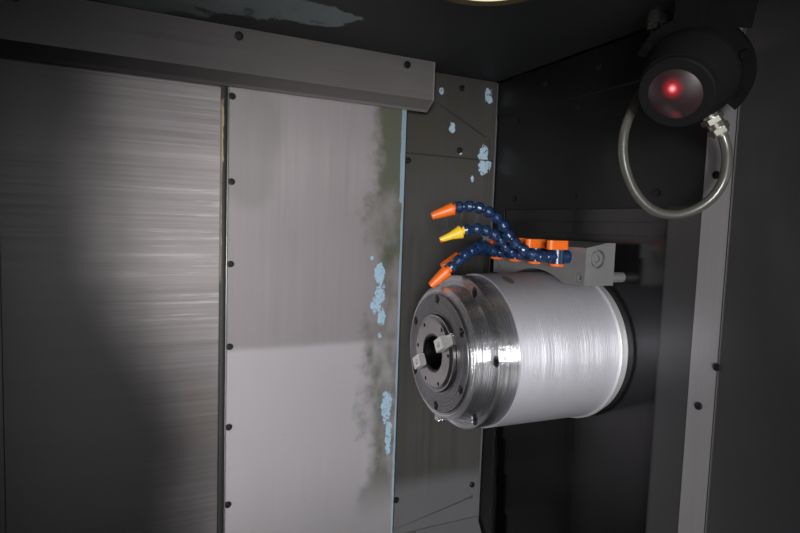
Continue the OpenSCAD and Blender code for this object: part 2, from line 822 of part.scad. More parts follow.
module receiver_housing() {
    at = receiver_wide_r;
    color([0.08, 0.08, 0.09]) at_receiver() difference() {
        union() {
            translate([0, 0, -2]) cylinder(h = 2, r1 = receiver_r, r2 = receiver_r - 1.5);
            translate([0, 0, -7]) cylinder(h = 5, r = receiver_r);
            translate([0, 0, -40]) cylinder(h = 33, r1 = at, r2 = receiver_r + 1.5);
            translate([0, 0, 8 - receiver_l]) cylinder(h = receiver_l - 48, r = at);
            translate([0, 0, -receiver_l]) cylinder(h = 8, r1 = at - 9, r2 = at);
        }
        translate([0, 0, -5]) cylinder(h = 6, r = window_r + seat_gap);
        // seat of the gland
        rotate([0, 0, -54]) translate([38, 0, -38]) rotate([0, 90, 0]) cylinder(h = 20, r = 9);
    }
}

module receiver_window() {
    color([0.5, 0.1, 0.12]) at_receiver() {
        translate([0, 0, -4.7]) cylinder(h = 4.7, r = window_r);
        intersection() {
            translate([0, 0, -window_r*1.6]) sphere(r = window_r*1.89, $fn = 64);
            cylinder(h = 12, r = window_r);
        }
    }
}

module receiver_gland() {
    color(steel) {
        at_receiver() rotate([0, 0, -54]) translate([38.3, 0, -38]) rotate([0, 90, 0]) difference() {
            union() {
                cylinder(h = 12, r = 8.7);
                translate([0, 0, 9.7]) cylinder(h = 6, r = 11.4, $fn = 6);
                translate([0, 0, 15.6]) cylinder(h = 7, r = 9);
                translate([0, 0, 22.5]) cylinder(h = 6.5, r = 11, $fn = 6);
                translate([0, 0, 28.9]) cylinder(h = 3, r = 8.6);
            }
            translate([0, 0, 23.5]) cylinder(h = 10, r = conduit_r + 0.4);
        }
        // fitting in the ceiling
        translate([41, -184, 2014]) difference() {
            union() {
                cylinder(h = ceiling_h - 2014 - seat_gap, r = 9);
                translate([0, 0, 6]) cylinder(h = 8, r = 11.4, $fn = 6);
            }
            translate([0, 0, -1]) cylinder(h = 10, r = conduit_r + 0.4);
        }
    }
}

// points round one ring of the swept tube, square to the route there
function unit(v) = v/norm(v);
function route_dir(p, i) = unit(p[min(i + 1, len(p) - 1)] - p[max(i - 1, 0)]);
function ring(c, d, r, n) = let(
    u = unit(cross(d, [0.31, 0.93, 0.2])), w = cross(d, u))
    [for (k = [0:n - 1]) c + r*(cos(360*k/n)*u + sin(360*k/n)*w)];

module tube(p, r, n) {
    pts = [for (i = [0:len(p) - 1]) each ring(p[i], route_dir(p, i), r, n)];
    last = (len(p) - 1)*n;
    polyhedron(points = pts, faces = concat(
        [[for (k = [0:n - 1]) k]],
        [for (i = [0:len(p) - 2], k = [0:n - 1])
            [i*n + k, (i + 1)*n + k, (i + 1)*n + (k + 1) % n, i*n + (k + 1) % n]],
        [[for (k = [n - 1:-1:0]) last + k]]));
}

module receiver_conduit() {
    color([0.5, 0.5, 0.42]) tube(conduit_route, conduit_r, 10);
}

// gate-shaped column on its foot
module column() {
    z0 = column_base + 8;
    y0 = spindle_y - column_w;
    y1 = spindle_y + column_w;
    leg_in = column_w - leg_t;
    color(cast) {
        difference() {
            union() {
                for (s = [-1, 1]) {
                    a = s < 0 ? y0 : spindle_y + leg_in;
                    // leg, deep at its foot and slimmer above
                    translate([0, a + leg_t, 0]) rotate([90, 0, 0]) linear_extrude(height = leg_t)
                        polygon([[legs_x, z0 + foot_h], [legs_x + column_d, z0 + foot_h],
                            [legs_x + column_d, 1750], [legs_x + column_d - 190, column_top],
                            [legs_x, column_top]]);
                }
                block([legs_x - 40, y0, z0], [legs_x + column_d, y1, z0 + foot_h]);
                block([legs_x, y0, column_top], [legs_x + column_d - 190, y1, column_top + beam_h]);
                block([legs_x + column_d - 60, spindle_y - leg_in, z0 + foot_h],
                      [legs_x + column_d, spindle_y + leg_in, 1700]);
            }
            // weight-saving windows in the legs
            for (z = [1150, 1450])
                block([legs_x + 120, y0 - 1, z], [legs_x + 480, y1 + 1, z + 200]);
            // hole for the head's feed screw
            translate([legs_x + column_d - 120, spindle_y, column_top - 1])
                cylinder(h = beam_h + 2, r = feed_r + 6);
        }
        // runner blocks under the foot
        for (x = rail_x, s = [-1, 1])
            translate([x, spindle_y + s*(column_w - 90) + 60, column_way_h]) rotate([90, 0, 0])
                linear_extrude(height = 120) runner_section();
        // nut of the cross screw
        difference() {
            block([460, spindle_y - 60, column_way_h - 70], [580, spindle_y + 60, z0]);
            translate([520, 0, column_way_h - 30])
                pin_y(spindle_y - 61, spindle_y + 61, feed_r + shaft_clear);
        }
    }
}

// folded frame round the head's opening: posts, lintel, upper panel, apron and sill
module cover_frame() {
    x1 = frame_x + post_d;
    top = ceiling_h - 2;
    lap = 1;
    inner = post_in + lap;
    color(steel) {
        for (s = [-1, 1]) {
            a = spindle_y + s*post_in;
            b = a + s*post_w;
            c = s < 0 ? cover_y0 + 4 : cover_y1 - 4;
            w = b + s*wing_w;
            // front face and the two returns of a post
            block([frame_x, min(a, b), frame_low], [frame_x + sheet_t, max(a, b), top]);
            for (e = [[a, a + s*sheet_t], [b, b - s*sheet_t]])
                block([frame_x, min(e), frame_low], [x1, max(e), top]);
            // strip that laps the edges of the sliding covers
            block([frame_x + 1, min(c, a + s*lap), frame_low + sill_h - lap],
                  [frame_x + sheet_t, max(c, a + s*lap), panel_z + lap]);
            // flat wing in front of the bellows
            block([frame_x + 1, min(w, b - s*lap), frame_low], [frame_x + sheet_t, max(w, b - s*lap), top]);
        }
        // lintel and upper panel
        block([frame_x, spindle_y - inner, ceiling_h - lintel_h], [frame_x + sheet_t, spindle_y + inner, top]);
        block([frame_x + 1, spindle_y - inner, panel_z],
              [frame_x + sheet_t, spindle_y + inner, ceiling_h - lintel_h + lap]);
        // apron below the head and the sill
        block([apron_x, spindle_y - inner, frame_low - sheet_t],
              [apron_x + slide_t, spindle_y + inner, apron_top]);
        block([frame_x, spindle_y - inner, frame_low - sheet_t],
              [frame_x + sheet_t, spindle_y + inner, frame_low + sill_h]);
        block([frame_x, spindle_y - inner, frame_low - sheet_t],
              [apron_x + slide_t, spindle_y + inner, frame_low]);
    }
    // arms that carry the frame on the column
    color(dark_steel) for (s = [-1, 1], z = [950, 1990]) {
        b = spindle_y + s*(post_in + post_w - 2);
        block([x1 - 10, min(b, b - s*16), z], [legs_x - seat_gap, max(b, b - s*16), z + 20]);
    }
}

// guide rails of the head with its feed screw and motor
module head_ways() {
    color(steel) for (s = [-1, 1])
        translate([legs_x, spindle_y + s*(column_w - 62), 975]) rotate([0, 0, -90])
            linear_extrude(height = column_top - 1000) rotate([0, 0, 180]) rail_section();
    x = legs_x + column_d - 120;
    top = column_top + beam_h;
    color(steel) translate([x, spindle_y, column_base + foot_h + 9]) {
        cylinder(h = top - column_base - foot_h - 9, r = feed_r);
    }
    color(dark_steel) translate([x, spindle_y, top + 0.3]) motor(130, 150);
}

module spindle_head() {
    tube_x = sleeve_x;
    rear = slide_x + 40;
    color(cast) difference() {
        union() {
            round_x(tube_x, slide_x, tube_r);
            // neck, slide plate, body and motor housing
            block([neck_x, spindle_y - 120, spindle_h - neck_h], [slide_x, spindle_y + 120, spindle_h + neck_h]);
            block([slide_x, spindle_y - head_w, spindle_h - head_h], [rear, spindle_y + head_w, spindle_h + head_h]);
            block([rear, spindle_y - body_w, spindle_h - body_h],
                  [rear + body_l, spindle_y + body_w, spindle_h + body_h]);
            round_x(rear + body_l, rear + body_l + motor_l, body_h - 8);
            // runner blocks on the head rails
            for (s = [-1, 1], z = [-130, 130])
                translate([legs_x, spindle_y + s*(column_w - 62), spindle_h + z - 50])
                    rotate([0, 0, -90]) linear_extrude(height = 100)
                    rotate([0, 0, 180]) runner_trim();
        }
        // bore for the bearings and the shaft
        round_x(tube_x - 1, tube_x + 8*bearing_w + 60, bearing_r);
        round_x(tube_x + 60, rear + body_l + motor_l - 30, journal_r + 6);
        // screw holes for the flange
        for (k = [0:flange_screws - 1]) on_ring(flange_pcd_r, 60*k + 5) pin_x(tube_x - 1, tube_x + 24, 3.4);
    }
    // bracket with the nut of the vertical screw
    color(cast) difference() {
        block([rear + body_l + motor_l + 0.3 - 60, spindle_y - 70, spindle_h - 60 + body_h],
              [legs_x + column_d - 80, spindle_y + 70, spindle_h + 10 + body_h]);
        translate([legs_x + column_d - 120, spindle_y, spindle_h - 61 + body_h])
            cylinder(h = 100, r = feed_r + shaft_clear);
    }
}

// the runner section cut back to the room between the slide plate and the column
module runner_trim() {
    intersection() {
        runner_section();
        translate([-rail_w, 0]) square([2*rail_w, legs_x - slide_x - 40]);
    }
}

module head_plate() {
    color(steel) difference() {
        block([plate_x, cover_y0, spindle_h - plate_down], [plate_x + sheet_t, cover_y1, spindle_h + plate_up]);
        round_x(plate_x - 1, plate_x + sheet_t + 1, tube_r + seat_gap);
    }
}

module spindle_sleeve() {
    color([0.85, 0.86, 0.88]) difference() {
        union() {
            round_x(sleeve_x, cover_x - 5, sleeve_r, sleeve_r + 3);
            round_x(cover_x - 5, cover_x - 3.5, sleeve_r + 3, sleeve_rim_r);
            round_x(cover_x - 3.5, cover_x, sleeve_rim_r);
            round_x(cover_x, plate_x - seat_gap, sleeve_rim_r - 4);
        }
        round_x(sleeve_x - 1, plate_x + 1, tube_r + seat_gap);
    }
}

module spindle_flange() {
    color([0.75, 0.76, 0.78]) difference() {
        union() {
            round_x(boss_x, boss_x + 3.5, boss_front_r, boss_r);
            round_x(boss_x + 3.5, flange_x, boss_r);
            round_x(flange_x, flange_x + 2, flange_r - 2, flange_r);
            round_x(flange_x + 2, sleeve_x - seat_gap, flange_r);
            // stop plate under the boss
            on_ring(boss_r + 2, -92) block([boss_x + 3, -4, -4], [flange_x + 1, 4, 6]);
        }
        round_x(boss_x - 1, nose_x + cap_t + seat_gap, cap_r + seat_gap);
        round_x(boss_x, sleeve_x, collar_r + 2);
        for (k = [0:flange_screws - 1]) on_ring(flange_pcd_r, 60*k + 5) {
            pin_x(flange_x - 1, flange_x + 9, 7.2);
            pin_x(flange_x, sleeve_x, 4.4);
        }
        for (k = [0:cap_screws - 1]) on_ring(cap_pcd_r, 360*k/cap_screws + 33)
            pin_x(nose_x + cap_t - 1, nose_x + cap_t + 16, 3.3);
    }
}

module front_cap() {
    color([0.34, 0.34, 0.35]) difference() {
        union() {
            round_x(nose_x, nose_x + 1, cap_r - 1, cap_r);
            round_x(nose_x + 1, nose_x + cap_t, cap_r);
        }
        round_x(nose_x - 1, nose_x + cap_t + 1, collar_r + 1);
        for (k = [0:cap_screws - 1]) on_ring(cap_pcd_r, 360*k/cap_screws + 33) {
            pin_x(nose_x - 1, nose_x + 8, 5.85);
            pin_x(nose_x, nose_x + cap_t + 1, 3.3);
        }
    }
}

// a socket-head screw, its head towards -X at x
module cap_screw(x, head_r, head_l, shank_r, shank_l) {
    difference() {
        pin_x(x, x + head_l, head_r);
        translate([x - 1, 0, 0]) rotate([0, 90, 0]) cylinder(h = head_l*0.6 + 1, r = head_r*0.52, $fn = 6);
    }
    pin_x(x + head_l - 0.01, x + head_l + shank_l, shank_r);
}

module spindle_screws() {
    color([0.12, 0.12, 0.13]) {
        for (k = [0:cap_screws - 1]) on_ring(cap_pcd_r, 360*k/cap_screws + 33)
            cap_screw(nose_x + 2, 5, 6, 3, 18);
        for (k = [0:flange_screws - 1]) on_ring(flange_pcd_r, 60*k + 5)
            cap_screw(flange_x + 1, 6.5, 8, 3.1, 40);
    }
}

module spindle_bearings() {
    color([0.6, 0.6, 0.62]) for (i = [0:3]) {
        x = sleeve_x + 2 + i*(bearing_w + (i > 1 ? 22 : 2)) + (i > 1 ? 4 : 0);
        difference() {
            round_x(x, x + bearing_w, bearing_r - 0.02);
            round_x(x - 1, x + bearing_w + 1, journal_r + shaft_clear);
            for (f = [x - 1, x + bearing_w - 3]) difference() {
                round_x(f, f + 4, bearing_r - 9);
                round_x(f - 1, f + 5, journal_r + 8);
            }
        }
    }
}

module spindle_shaft() {
    face = nose_face;
    color([0.55, 0.55, 0.57]) difference() {
        union() {
            round_x(face, face + 2.5, nose_r, collar_r - 2);
            round_x(face + 2.5, nose_x + 40, collar_r);
            round_x(nose_x + 40, sleeve_x + 1, journal_r + 12);
            round_x(sleeve_x + 1, slide_x + body_l + 100, journal_r);
        }
        // mouth, taper and the bore for the draw bar
        round_x(face - 1, face + 2.5, mouth_r + 1, taper_r);
        round_x(face + 2.5, face + 2.5 + taper_l, taper_r, taper_r - taper_l*7/48);
        round_x(face + taper_l, slide_x + body_l + 101, 12.5);
        // slots for the drive keys
        for (a = [key_angle, key_angle + 180])
            translate([0, spindle_y, spindle_h]) rotate([180 - a, 0, 0])
                block([face - 1, 24, -key_w/2 - 0.01], [face + 8, 60, key_w/2 + 0.01]);
        for (k = [0:5]) on_ring(0.525*cap_r, key_angle + 25 + 60*k + (k % 2)*10)
            pin_x(face - 1, face + 6, 2.6);
    }
}

module drive_keys() {
    color([0.75, 0.75, 0.77]) for (a = [key_angle, key_angle + 180])
        translate([0, spindle_y, spindle_h]) rotate([180 - a, 0, 0]) difference() {
            block([nose_face - key_h, 24.5, -key_w/2], [nose_face + 7.9, 43.5, key_w/2]);
            translate([0, 34, 0]) pin_x(nose_face - key_h - 1, nose_face - key_h + 5, 4.2);
        }
}

// saddle-shaped coolant block that bridges the sleeve
module coolant_block() {
    y0 = spindle_y + block_y - block_l/2;
    y1 = y0 + block_l;
    x1 = block_x + block_d;
    top = block_low + block_h;
    color([0.66, 0.67, 0.68]) {
        difference() {
            // side view with the sloped front edge of the top
            translate([0, y1, 0]) rotate([90, 0, 0]) linear_extrude(height = block_l)
                polygon([[block_x, block_low], [x1, block_low], [x1, top],
                    [block_x + 35, top], [block_x, top - 7]]);
            round_x(block_x - 1, x1 + 1, sleeve_rim_r + 1.5);
            // valve ports and the feed bore
            for (y = port_y) translate([0, y, port_z]) pin_x(block_x - 1, block_x + 28, 4);
            translate([block_x + 21, 0, top - 21]) {
                pin_y(y0 - 1, y1 - 12, 5);
                pin_y(y0 - 1, y0 + 6, 12);
            }
            for (y = [y0 + 10, y1 - 10]) translate([0, y, block_low + 10]) {
                pin_x(block_x - 1, block_x + 9, 7.2);
                pin_x(block_x, x1 + 1, 3.6);
            }
        }
        // distance sleeves to the head plate and the inlet fitting
        for (y = [y0 + 10, y1 - 10]) translate([0, y, block_low + 10]) difference() {
            pin_x(x1 - 0.01, plate_x - seat_gap, 7);
            pin_x(x1 - 1, plate_x, 3.5);
        }
        translate([0, y0 + 30, block_low + 12]) pin_x(x1 - 0.01, plate_x - seat_gap, 5.5);
        // hexagon plug in the feed bore
        translate([block_x + 21, y0 + 7, top - 21]) rotate([90, 0, 0]) difference() {
            cylinder(h = 5, r = 9.5);
            translate([0, 0, 1]) cylinder(h = 5, r = 5.6, $fn = 6);
        }
    }
    // blocks' screws
    color(dark_steel) for (y = [y0 + 10, y1 - 10])
        translate([0, y, block_low + 10]) cap_screw(block_x + 1, 6.6, 7.6, 3.3, 40);
}

// direction of a hose stretch from its turn and rise
function aim(turn, rise) = [-cos(rise)*cos(turn), cos(rise)*sin(turn), sin(rise)];
// place of the ball that starts segment i of hose h
function joint(h, i) = i == 0
    ? [block_x - 32, port_y[h], port_z]
    : joint(h, i - 1) + segment_l*aim(hose_turn[h][i - 1], hose_rise[h][i - 1]);

// children's +Z laid along a hose stretch
module along(p, turn, rise) {
    translate(p) rotate([0, 0, 180 - turn]) rotate([0, 90 - rise, 0]) children();
}

// one hose segment: a ball, a neck and a socket for the next ball
module segment() {
    neck_r = 4.3;
    difference() {
        union() {
            sphere(r = ball_r, $fn = 32);
            cylinder(h = segment_l - 6, r = neck_r);
            translate([0, 0, 6.2]) cylinder(h = 2.2, r1 = neck_r, r2 = segment_r - 0.6);
            translate([0, 0, 8.4]) cylinder(h = segment_l - 9, r1 = segment_r - 0.6, r2 = segment_r);
            translate([0, 0, segment_l - 0.6]) cylinder(h = 3.4, r1 = segment_r, r2 = segment_r - 1);
        }
        translate([0, 0, segment_l]) sphere(r = ball_r + ball_clear, $fn = 32);
        translate([0, 0, -ball_r - 1]) cylinder(h = segment_l, r = 2.6);
    }
}

// valve body between the block and the first ball
module valve_body() {
    length = 32;
    difference() {
        union() {
            rotate([0, 90, 0]) {
                translate([0, 0, -2.8]) cylinder(h = 2.8, r1 = segment_r - 1, r2 = segment_r);
                cylinder(h = length - 2, r = segment_r);
                translate([0, 0, length - 2]) cylinder(h = 2 - seat_gap, r = 9);
            }
            // the turns keep one cylinder's seam off another's
            translate([14, 0, -9]) rotate([0, 0, 40]) cylinder(h = 18, r = plug_r + 3);
        }
        rotate([0, 90, 0]) rotate([0, 0, 50]) translate([0, 0, -4])
            cylinder(h = ball_r + ball_clear + 4, r = ball_r + ball_clear);
        translate([14, 0, -10]) rotate([0, 0, 40]) cylinder(h = 20, r = plug_r + 0.09);
        rotate([0, 90, 0]) rotate([0, 0, 20]) cylinder(h = length + 1, r = 3);
    }
}

module hose_segments() {
    color([0.08, 0.24, 0.52]) for (h = [0:3]) {
        translate(joint(h, 0)) valve_body();
        for (i = [0:len(hose_turn[h]) - 1])
            along(joint(h, i), hose_turn[h][i], hose_rise[h][i]) segment();
    }
}

// orange plug of a valve with its paddle on top
module valve_handle(h) {
    color([0.95, 0.42, 0.08]) translate(joint(h, 0) + [14, 0, 0]) {
        difference() {
            translate([0, 0, -9.4]) rotate([0, 0, 40]) cylinder(h = 18.8, r = plug_r);
            rotate([0, 90, 0]) cylinder(h = 30, r = 3, center = true);
        }
        translate([0, 0, -12.5]) cylinder(h = 3.2, r1 = 9, r2 = 10);
        translate([0, 0, 9.3]) linear_extrude(height = 12) {
            square([22, 11], center = true);
            for (s = [-1, 1]) translate([s*11, 0]) circle(r = 5.5);
        }
    }
}
module valve_handle_1() { valve_handle(0); }
module valve_handle_2() { valve_handle(1); }
module valve_handle_3() { valve_handle(2); }
module valve_handle_4() { valve_handle(3); }

// tapered nozzle on a ball
module nozzle(tip_r, waist) {
    difference() {
        union() {
            sphere(r = ball_r, $fn = 32);
            cylinder(h = 7, r = 4.3);
            translate([0, 0, 6.2]) cylinder(h = 2.6, r = 8.6);
            translate([0, 0, 8.8]) cylinder(h = waist, r1 = 8.2, r2 = tip_r + 1.4);
            translate([0, 0, 8.8 + waist]) cylinder(h = nozzle_l - 8.8 - waist, r1 = tip_r + 1.4, r2 = tip_r);
        }
        translate([0, 0, -ball_r - 1]) cylinder(h = nozzle_l + ball_r + 2, r = 2.6);
    }
}

module nozzles() {
    for (h = [0:3]) {
        last = len(hose_turn[h]);
        color(h == 1 ? [0.98, 0.82, 0.1] : [0.95, 0.42, 0.08])
            along(joint(h, last), nozzle_turn[h], nozzle_rise[h])
            nozzle(h == 1 ? 3.6 : 4.6, h == 1 ? 12 : 20);
    }
}

// sliding cover number i above the head
module upper_cover(i) {
    low = spindle_h + slide_low[i];
    color(steel) {
        block([upper_x[i], cover_y0, low], [upper_x[i] + slide_t, cover_y1, low + slide_h]);
    }
}
module upper_cover_1() { upper_cover(0); }
module upper_cover_2() { upper_cover(1); }
module upper_cover_3() { upper_cover(2); }

// sliding cover number i below the head
module lower_cover(i) {
    color(steel) block([lower_x[i], cover_y0, spindle_h + lower_low[i]],
                       [lower_x[i] + slide_t, cover_y1, spindle_h + lower_top[i]]);
}
module lower_cover_1() { lower_cover(0); }
module lower_cover_2() { lower_cover(1); }
module lower_cover_3() { lower_cover(2); }

// pleated cover between y0 and y1
module bellows(y0, y1, folds) {
    pitch = (y1 - y0)/folds;
    front = frame_x + 4;
    deep = 20;
    zig = [for (i = [0:2*folds]) [i % 2 == 0 ? front : front + deep, y0 + i*pitch/2]];
    color([0.2, 0.2, 0.22]) translate([0, 0, frame_low]) linear_extrude(height = ceiling_h - 3 - frame_low)
        polygon(concat(zig, [for (i = [2*folds:-1:0]) zig[i] + [1.2, 0]]));
}

module near_bellows() {
    bellows(near_out + skin_t, spindle_y - post_in - post_w, 16);
}

module far_bellows() {
    bellows(spindle_y + post_in + post_w, far_in, 16);
}

module table_saddle() {
    low = table_way_h + rail_h + 14;
    color(cast) {
        difference() {
            union() {
                block([pallet_x - saddle_l, lane_y - saddle_w, low], [pallet_x + saddle_l, lane_y + saddle_w, saddle_top]);
                translate([pallet_x, lane_y, saddle_top]) cylinder(h = pallet_h - pallet_t - 12 - saddle_top, r = rotary_r, $fn = 96);
            }
            translate([pallet_x, lane_y, low - 1]) cylinder(h = pallet_h - low, r = 60 + shaft_clear, $fn = 96);
            for (s = [-1, 1]) block([pallet_x - 140, lane_y + s*(saddle_w - 30) - 31, low + 30],
                                    [pallet_x + 140, lane_y + s*(saddle_w - 30) + 31, low + 100]);
        }
        for (sx = [-1, 1], sy = [-1, 1])
            translate([pallet_x + sx*(saddle_l - 70) - 60, lane_y + sy*table_rail_y, table_way_h])
                rotate([90, 0, 90]) linear_extrude(height = 120) runner_section();
        difference() {
            block([pallet_x - 50, lane_y - 50, table_way_h - 70], [pallet_x + 50, lane_y + 50, low]);
            translate([0, lane_y, table_way_h - 30]) pin_x(pallet_x - 51, pallet_x + 51, feed_r + shaft_clear);
        }
    }
}

module pallet() {
    h = pallet_w/2;
    c = 34;
    color(steel) difference() {
        union() {
            translate([pallet_x, lane_y, pallet_h - pallet_t]) linear_extrude(height = pallet_t)
                polygon([[-h, c - h], [c - h, -h], [h - c, -h], [h, c - h], [h, h - c], [h - c, h],
                    [c - h, h], [-h, h - c]]);
            translate([pallet_x, lane_y, pallet_h - pallet_t - 11.5])
                cylinder(h = 11.5, r1 = 170, r2 = 185, $fn = 96);
            translate([pallet_x, lane_y, pallet_h - pallet_t - 80]) cylinder(h = 70, r = 60, $fn = 96);
        }
        for (i = [-2:2], j = [-2:2]) if (i != 0 || j != 0)
            translate([pallet_x + i*grid_pitch, lane_y + j*grid_pitch, pallet_h - 32])
                cylinder(h = 33, r = grid_r);
        translate([pallet_x, lane_y, pallet_h - 30]) cylinder(h = 31, r = 25);
        // clamping groove round the edge
        for (s = [-1, 1]) {
            block([pallet_x - h - 1, lane_y + s*(h - 6) - 6.5, pallet_h - 34],
                  [pallet_x + h + 1, lane_y + s*(h - 6) + 6.5, pallet_h - 22]);
        }
    }
}

// sliding operator door, drawn open
module door() {
    x0 = door_x;
    y0 = door_y - door_t;
    cx = x0 + door_w/2;
    cz = door_z + door_h/2 + 60;
    color(accent) {
        difference() {
            block([x0, y0, door_z], [x0 + door_w, door_y, door_z + door_h]);
            block([cx - window_w/2, y0 - 1, cz - window_h/2], [cx + window_w/2, door_y + 1, cz + window_h/2]);
            block([cx - window_w/2 - 14, door_y - 8, cz - window_h/2 - 14],
                  [cx + window_w/2 + 14, door_y + 1, cz + window_h/2 + 14]);
        }
        // hangers on the upper rail
        for (x = [x0 + 60, x0 + door_w - 140])
            translate([x, 0, 0]) rotate([90, 0, 90]) linear_extrude(height = 80)
                polygon([[door_y - 20, door_z + door_h - 0.01], [door_y - 20, 2040], [near_out - 6, 2040],
                    [near_out - 6, 2030 + run_gap], [door_y - 19, 2030 + run_gap],
                    [door_y - 19, 2014], [door_y - 18 - run_gap, door_z + door_h - 0.01]]);
    }
    // handle
    color(dark_steel) {
        translate([x0 + 50, y0 - 30, 1300]) cylinder(h = 340, r = 12);
        for (z = [1330, 1610]) translate([x0 + 50, 0, z]) pin_y(y0 - 30, y0 + 1, 8);
    }
}

module door_window() {
    cx = door_x + door_w/2;
    cz = door_z + door_h/2 + 60;
    color([0.7, 0.8, 0.85, 0.4])
        block([cx - window_w/2 - 13, door_y - 7.7, cz - window_h/2 - 13],
              [cx + window_w/2 + 13, door_y - 1, cz + window_h/2 + 13]);
}

// double-ended arm, drawn parked upright
module change_arm() {
    color(steel) translate([arm_x, arm_y, spindle_h]) rotate([0, 90, 0]) {
        difference() {
            linear_extrude(height = arm_t) difference() {
                union() {
                    circle(r = 58);
                    for (s = [-1, 1]) {
                        polygon([[0, -44], [s*(arm_r - 20), -26], [s*(arm_r - 20), 26], [0, 44]]);
                        translate([s*arm_r, 0]) circle(r = 42);
                    }
                }
                // jaws, open on the side that leads
                for (s = [-1, 1]) {
                    translate([s*arm_r, 0]) circle(r = groove_r);
                    translate([s*arm_r - groove_r, s > 0 ? -60 : 0]) square([2*groove_r, 60]);
                }
            }
            translate([0, 0, -1]) cylinder(h = 7, r = 30);
        }
        translate([0, 0, arm_t - 0.01]) cylinder(h = 90, r = arm_shaft_r);
    }
}

// one pot with its mouth at the end of +Z
module pot() {
    difference() {
        union() {
            cylinder(h = pot_l, r = pot_r);
            translate([0, 0, pot_l - 10]) cylinder(h = 10, r = pot_r + 2);
        }
        translate([0, 0, pot_l - taper_l]) cylinder(h = taper_l + 0.1, r1 = taper_r - taper_l*7/48 + 0.5, r2 = taper_r + 0.5);
        translate([0, 0, -1]) cylinder(h = pot_l, r = 10);
    }
}

module magazine_wheel() {
    plate_y = wheel_y - 40;
    color([0.25, 0.27, 0.3]) translate([wheel_x, plate_y, spindle_h]) rotate([-90, 0, 0]) {
        difference() {
            union() {
                translate([0, 0, -12]) cylinder(h = 12, r = pot_ring_r + 18, $fn = 96);
                cylinder(h = 30, r = 110);
                translate([0, 0, -150]) cylinder(h = 139, r = wheel_shaft_r);
                for (k = [1:pots - 1]) rotate([0, 0, 180 + 360*k/pots])
                    translate([pot_ring_r, 0, 0]) pot();
                // fork of the swinging pot
                for (s = [-1, 1]) translate([-pot_ring_r, s*(pot_r + 6), 0])
                    block([-14, -3, -1], [14, 3, 36]);
            }
            for (k = [0:5]) rotate([0, 0, 60*k + 30]) translate([200, 0, -13]) cylinder(h = 14, r = 55);
            translate([-pot_ring_r, 0, -13]) block([-60, -pot_r - 3, 0], [pot_r + 4, pot_r + 3, 14]);
            translate([-pot_ring_r, 0, 24]) rotate([90, 0, 0])
                cylinder(h = 2*pot_r + 40, r = 5 + shaft_clear, center = true);
        }
    }
}

// pot at the change place, swings from +Y to -X
module change_pot() {
    color([0.25, 0.27, 0.3]) translate([pot_x, wheel_y - 40, spindle_h]) {
        rotate([-90, 0, 0]) difference() {
            translate([0, 0, 0.5]) pot();
        }
        translate([0, 24, pot_r - 1]) cylinder(h = 10.5, r = 5);
        translate([0, 24, -pot_r - 9.5]) cylinder(h = 10.5, r = 5);
    }
}

module operator_panel() {
    x0 = panel_x;
    front = panel_front;
    color(accent) {
        difference() {
            block([x0, front, 1150], [x0 + panel_w, front + panel_t, 1150 + panel_h]);
            // bore of the stop button's stem
            translate([stop_at[0], 0, stop_at[1]])
                pin_y(front - 1, front + stop_way + 3, stop_stem_r + shaft_clear);
        }
        difference() {
            block([panel_pin[0] - pin_lug, panel_pin[1] - pin_lug, 1325], [x0 + 20, panel_pin[1] + pin_lug, 1555]);
            translate([panel_pin[0], panel_pin[1], 1324]) cylinder(h = 240, r = 8 + shaft_clear);
        }
    }
    // screen and key field
    color([0.05, 0.06, 0.08]) block([x0 + 30, front - 3, 1470], [x0 + panel_w - 30, front + 0.01, 1700]);
    color(dark_steel) block([x0 + 30, front - 2, 1250], [x0 + panel_w - 30, front + 0.01, 1445]);
    color("gold") translate([stop_at[0], 0, stop_at[1]]) difference() {
        pin_y(front - 2, front + 1, stop_r + 8);
        pin_y(front - 3, front + 2, stop_stem_r + 0.5);
    }
}

module stop_button() {
    color("red") translate([stop_at[0], 0, stop_at[1]]) {
        pin_y(-overall_w/2, -overall_w/2 + 5, stop_r);
        pin_y(-overall_w/2 + 4.9, panel_front + 2, stop_stem_r);
    }
}

bed();
levelling_feet();
chip_pan();
base_ways();
far_wall();
far_wall_liner();
shutter_guide();
chamber_ceiling();
enclosure_front();
column_housing();
magazine_housing();
magazine_stand();
atc_drive_box();
electrical_cabinet();
chip_conveyor();
work_light();
receiver_yoke();
receiver_housing();
receiver_window();
receiver_gland();
receiver_conduit();
column();
cover_frame();
head_ways();
spindle_head();
head_plate();
spindle_sleeve();
spindle_flange();
front_cap();
spindle_screws();
spindle_bearings();
coolant_block();
hose_segments();
nozzles();
valve_handle_1();
valve_handle_2();
valve_handle_3();
valve_handle_4();
spindle_shaft();
drive_keys();
upper_cover_1();
upper_cover_2();
upper_cover_3();
lower_cover_1();
lower_cover_2();
lower_cover_3();
near_bellows();
far_bellows();
table_saddle();
pallet();
door();
door_window();
front_leaf();
rear_leaf();
change_arm();
magazine_wheel();
change_pot();
operator_panel();
stop_button();
cabinet_door();
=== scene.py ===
import math

import bmesh
import bpy
from mathutils import Matrix, Vector


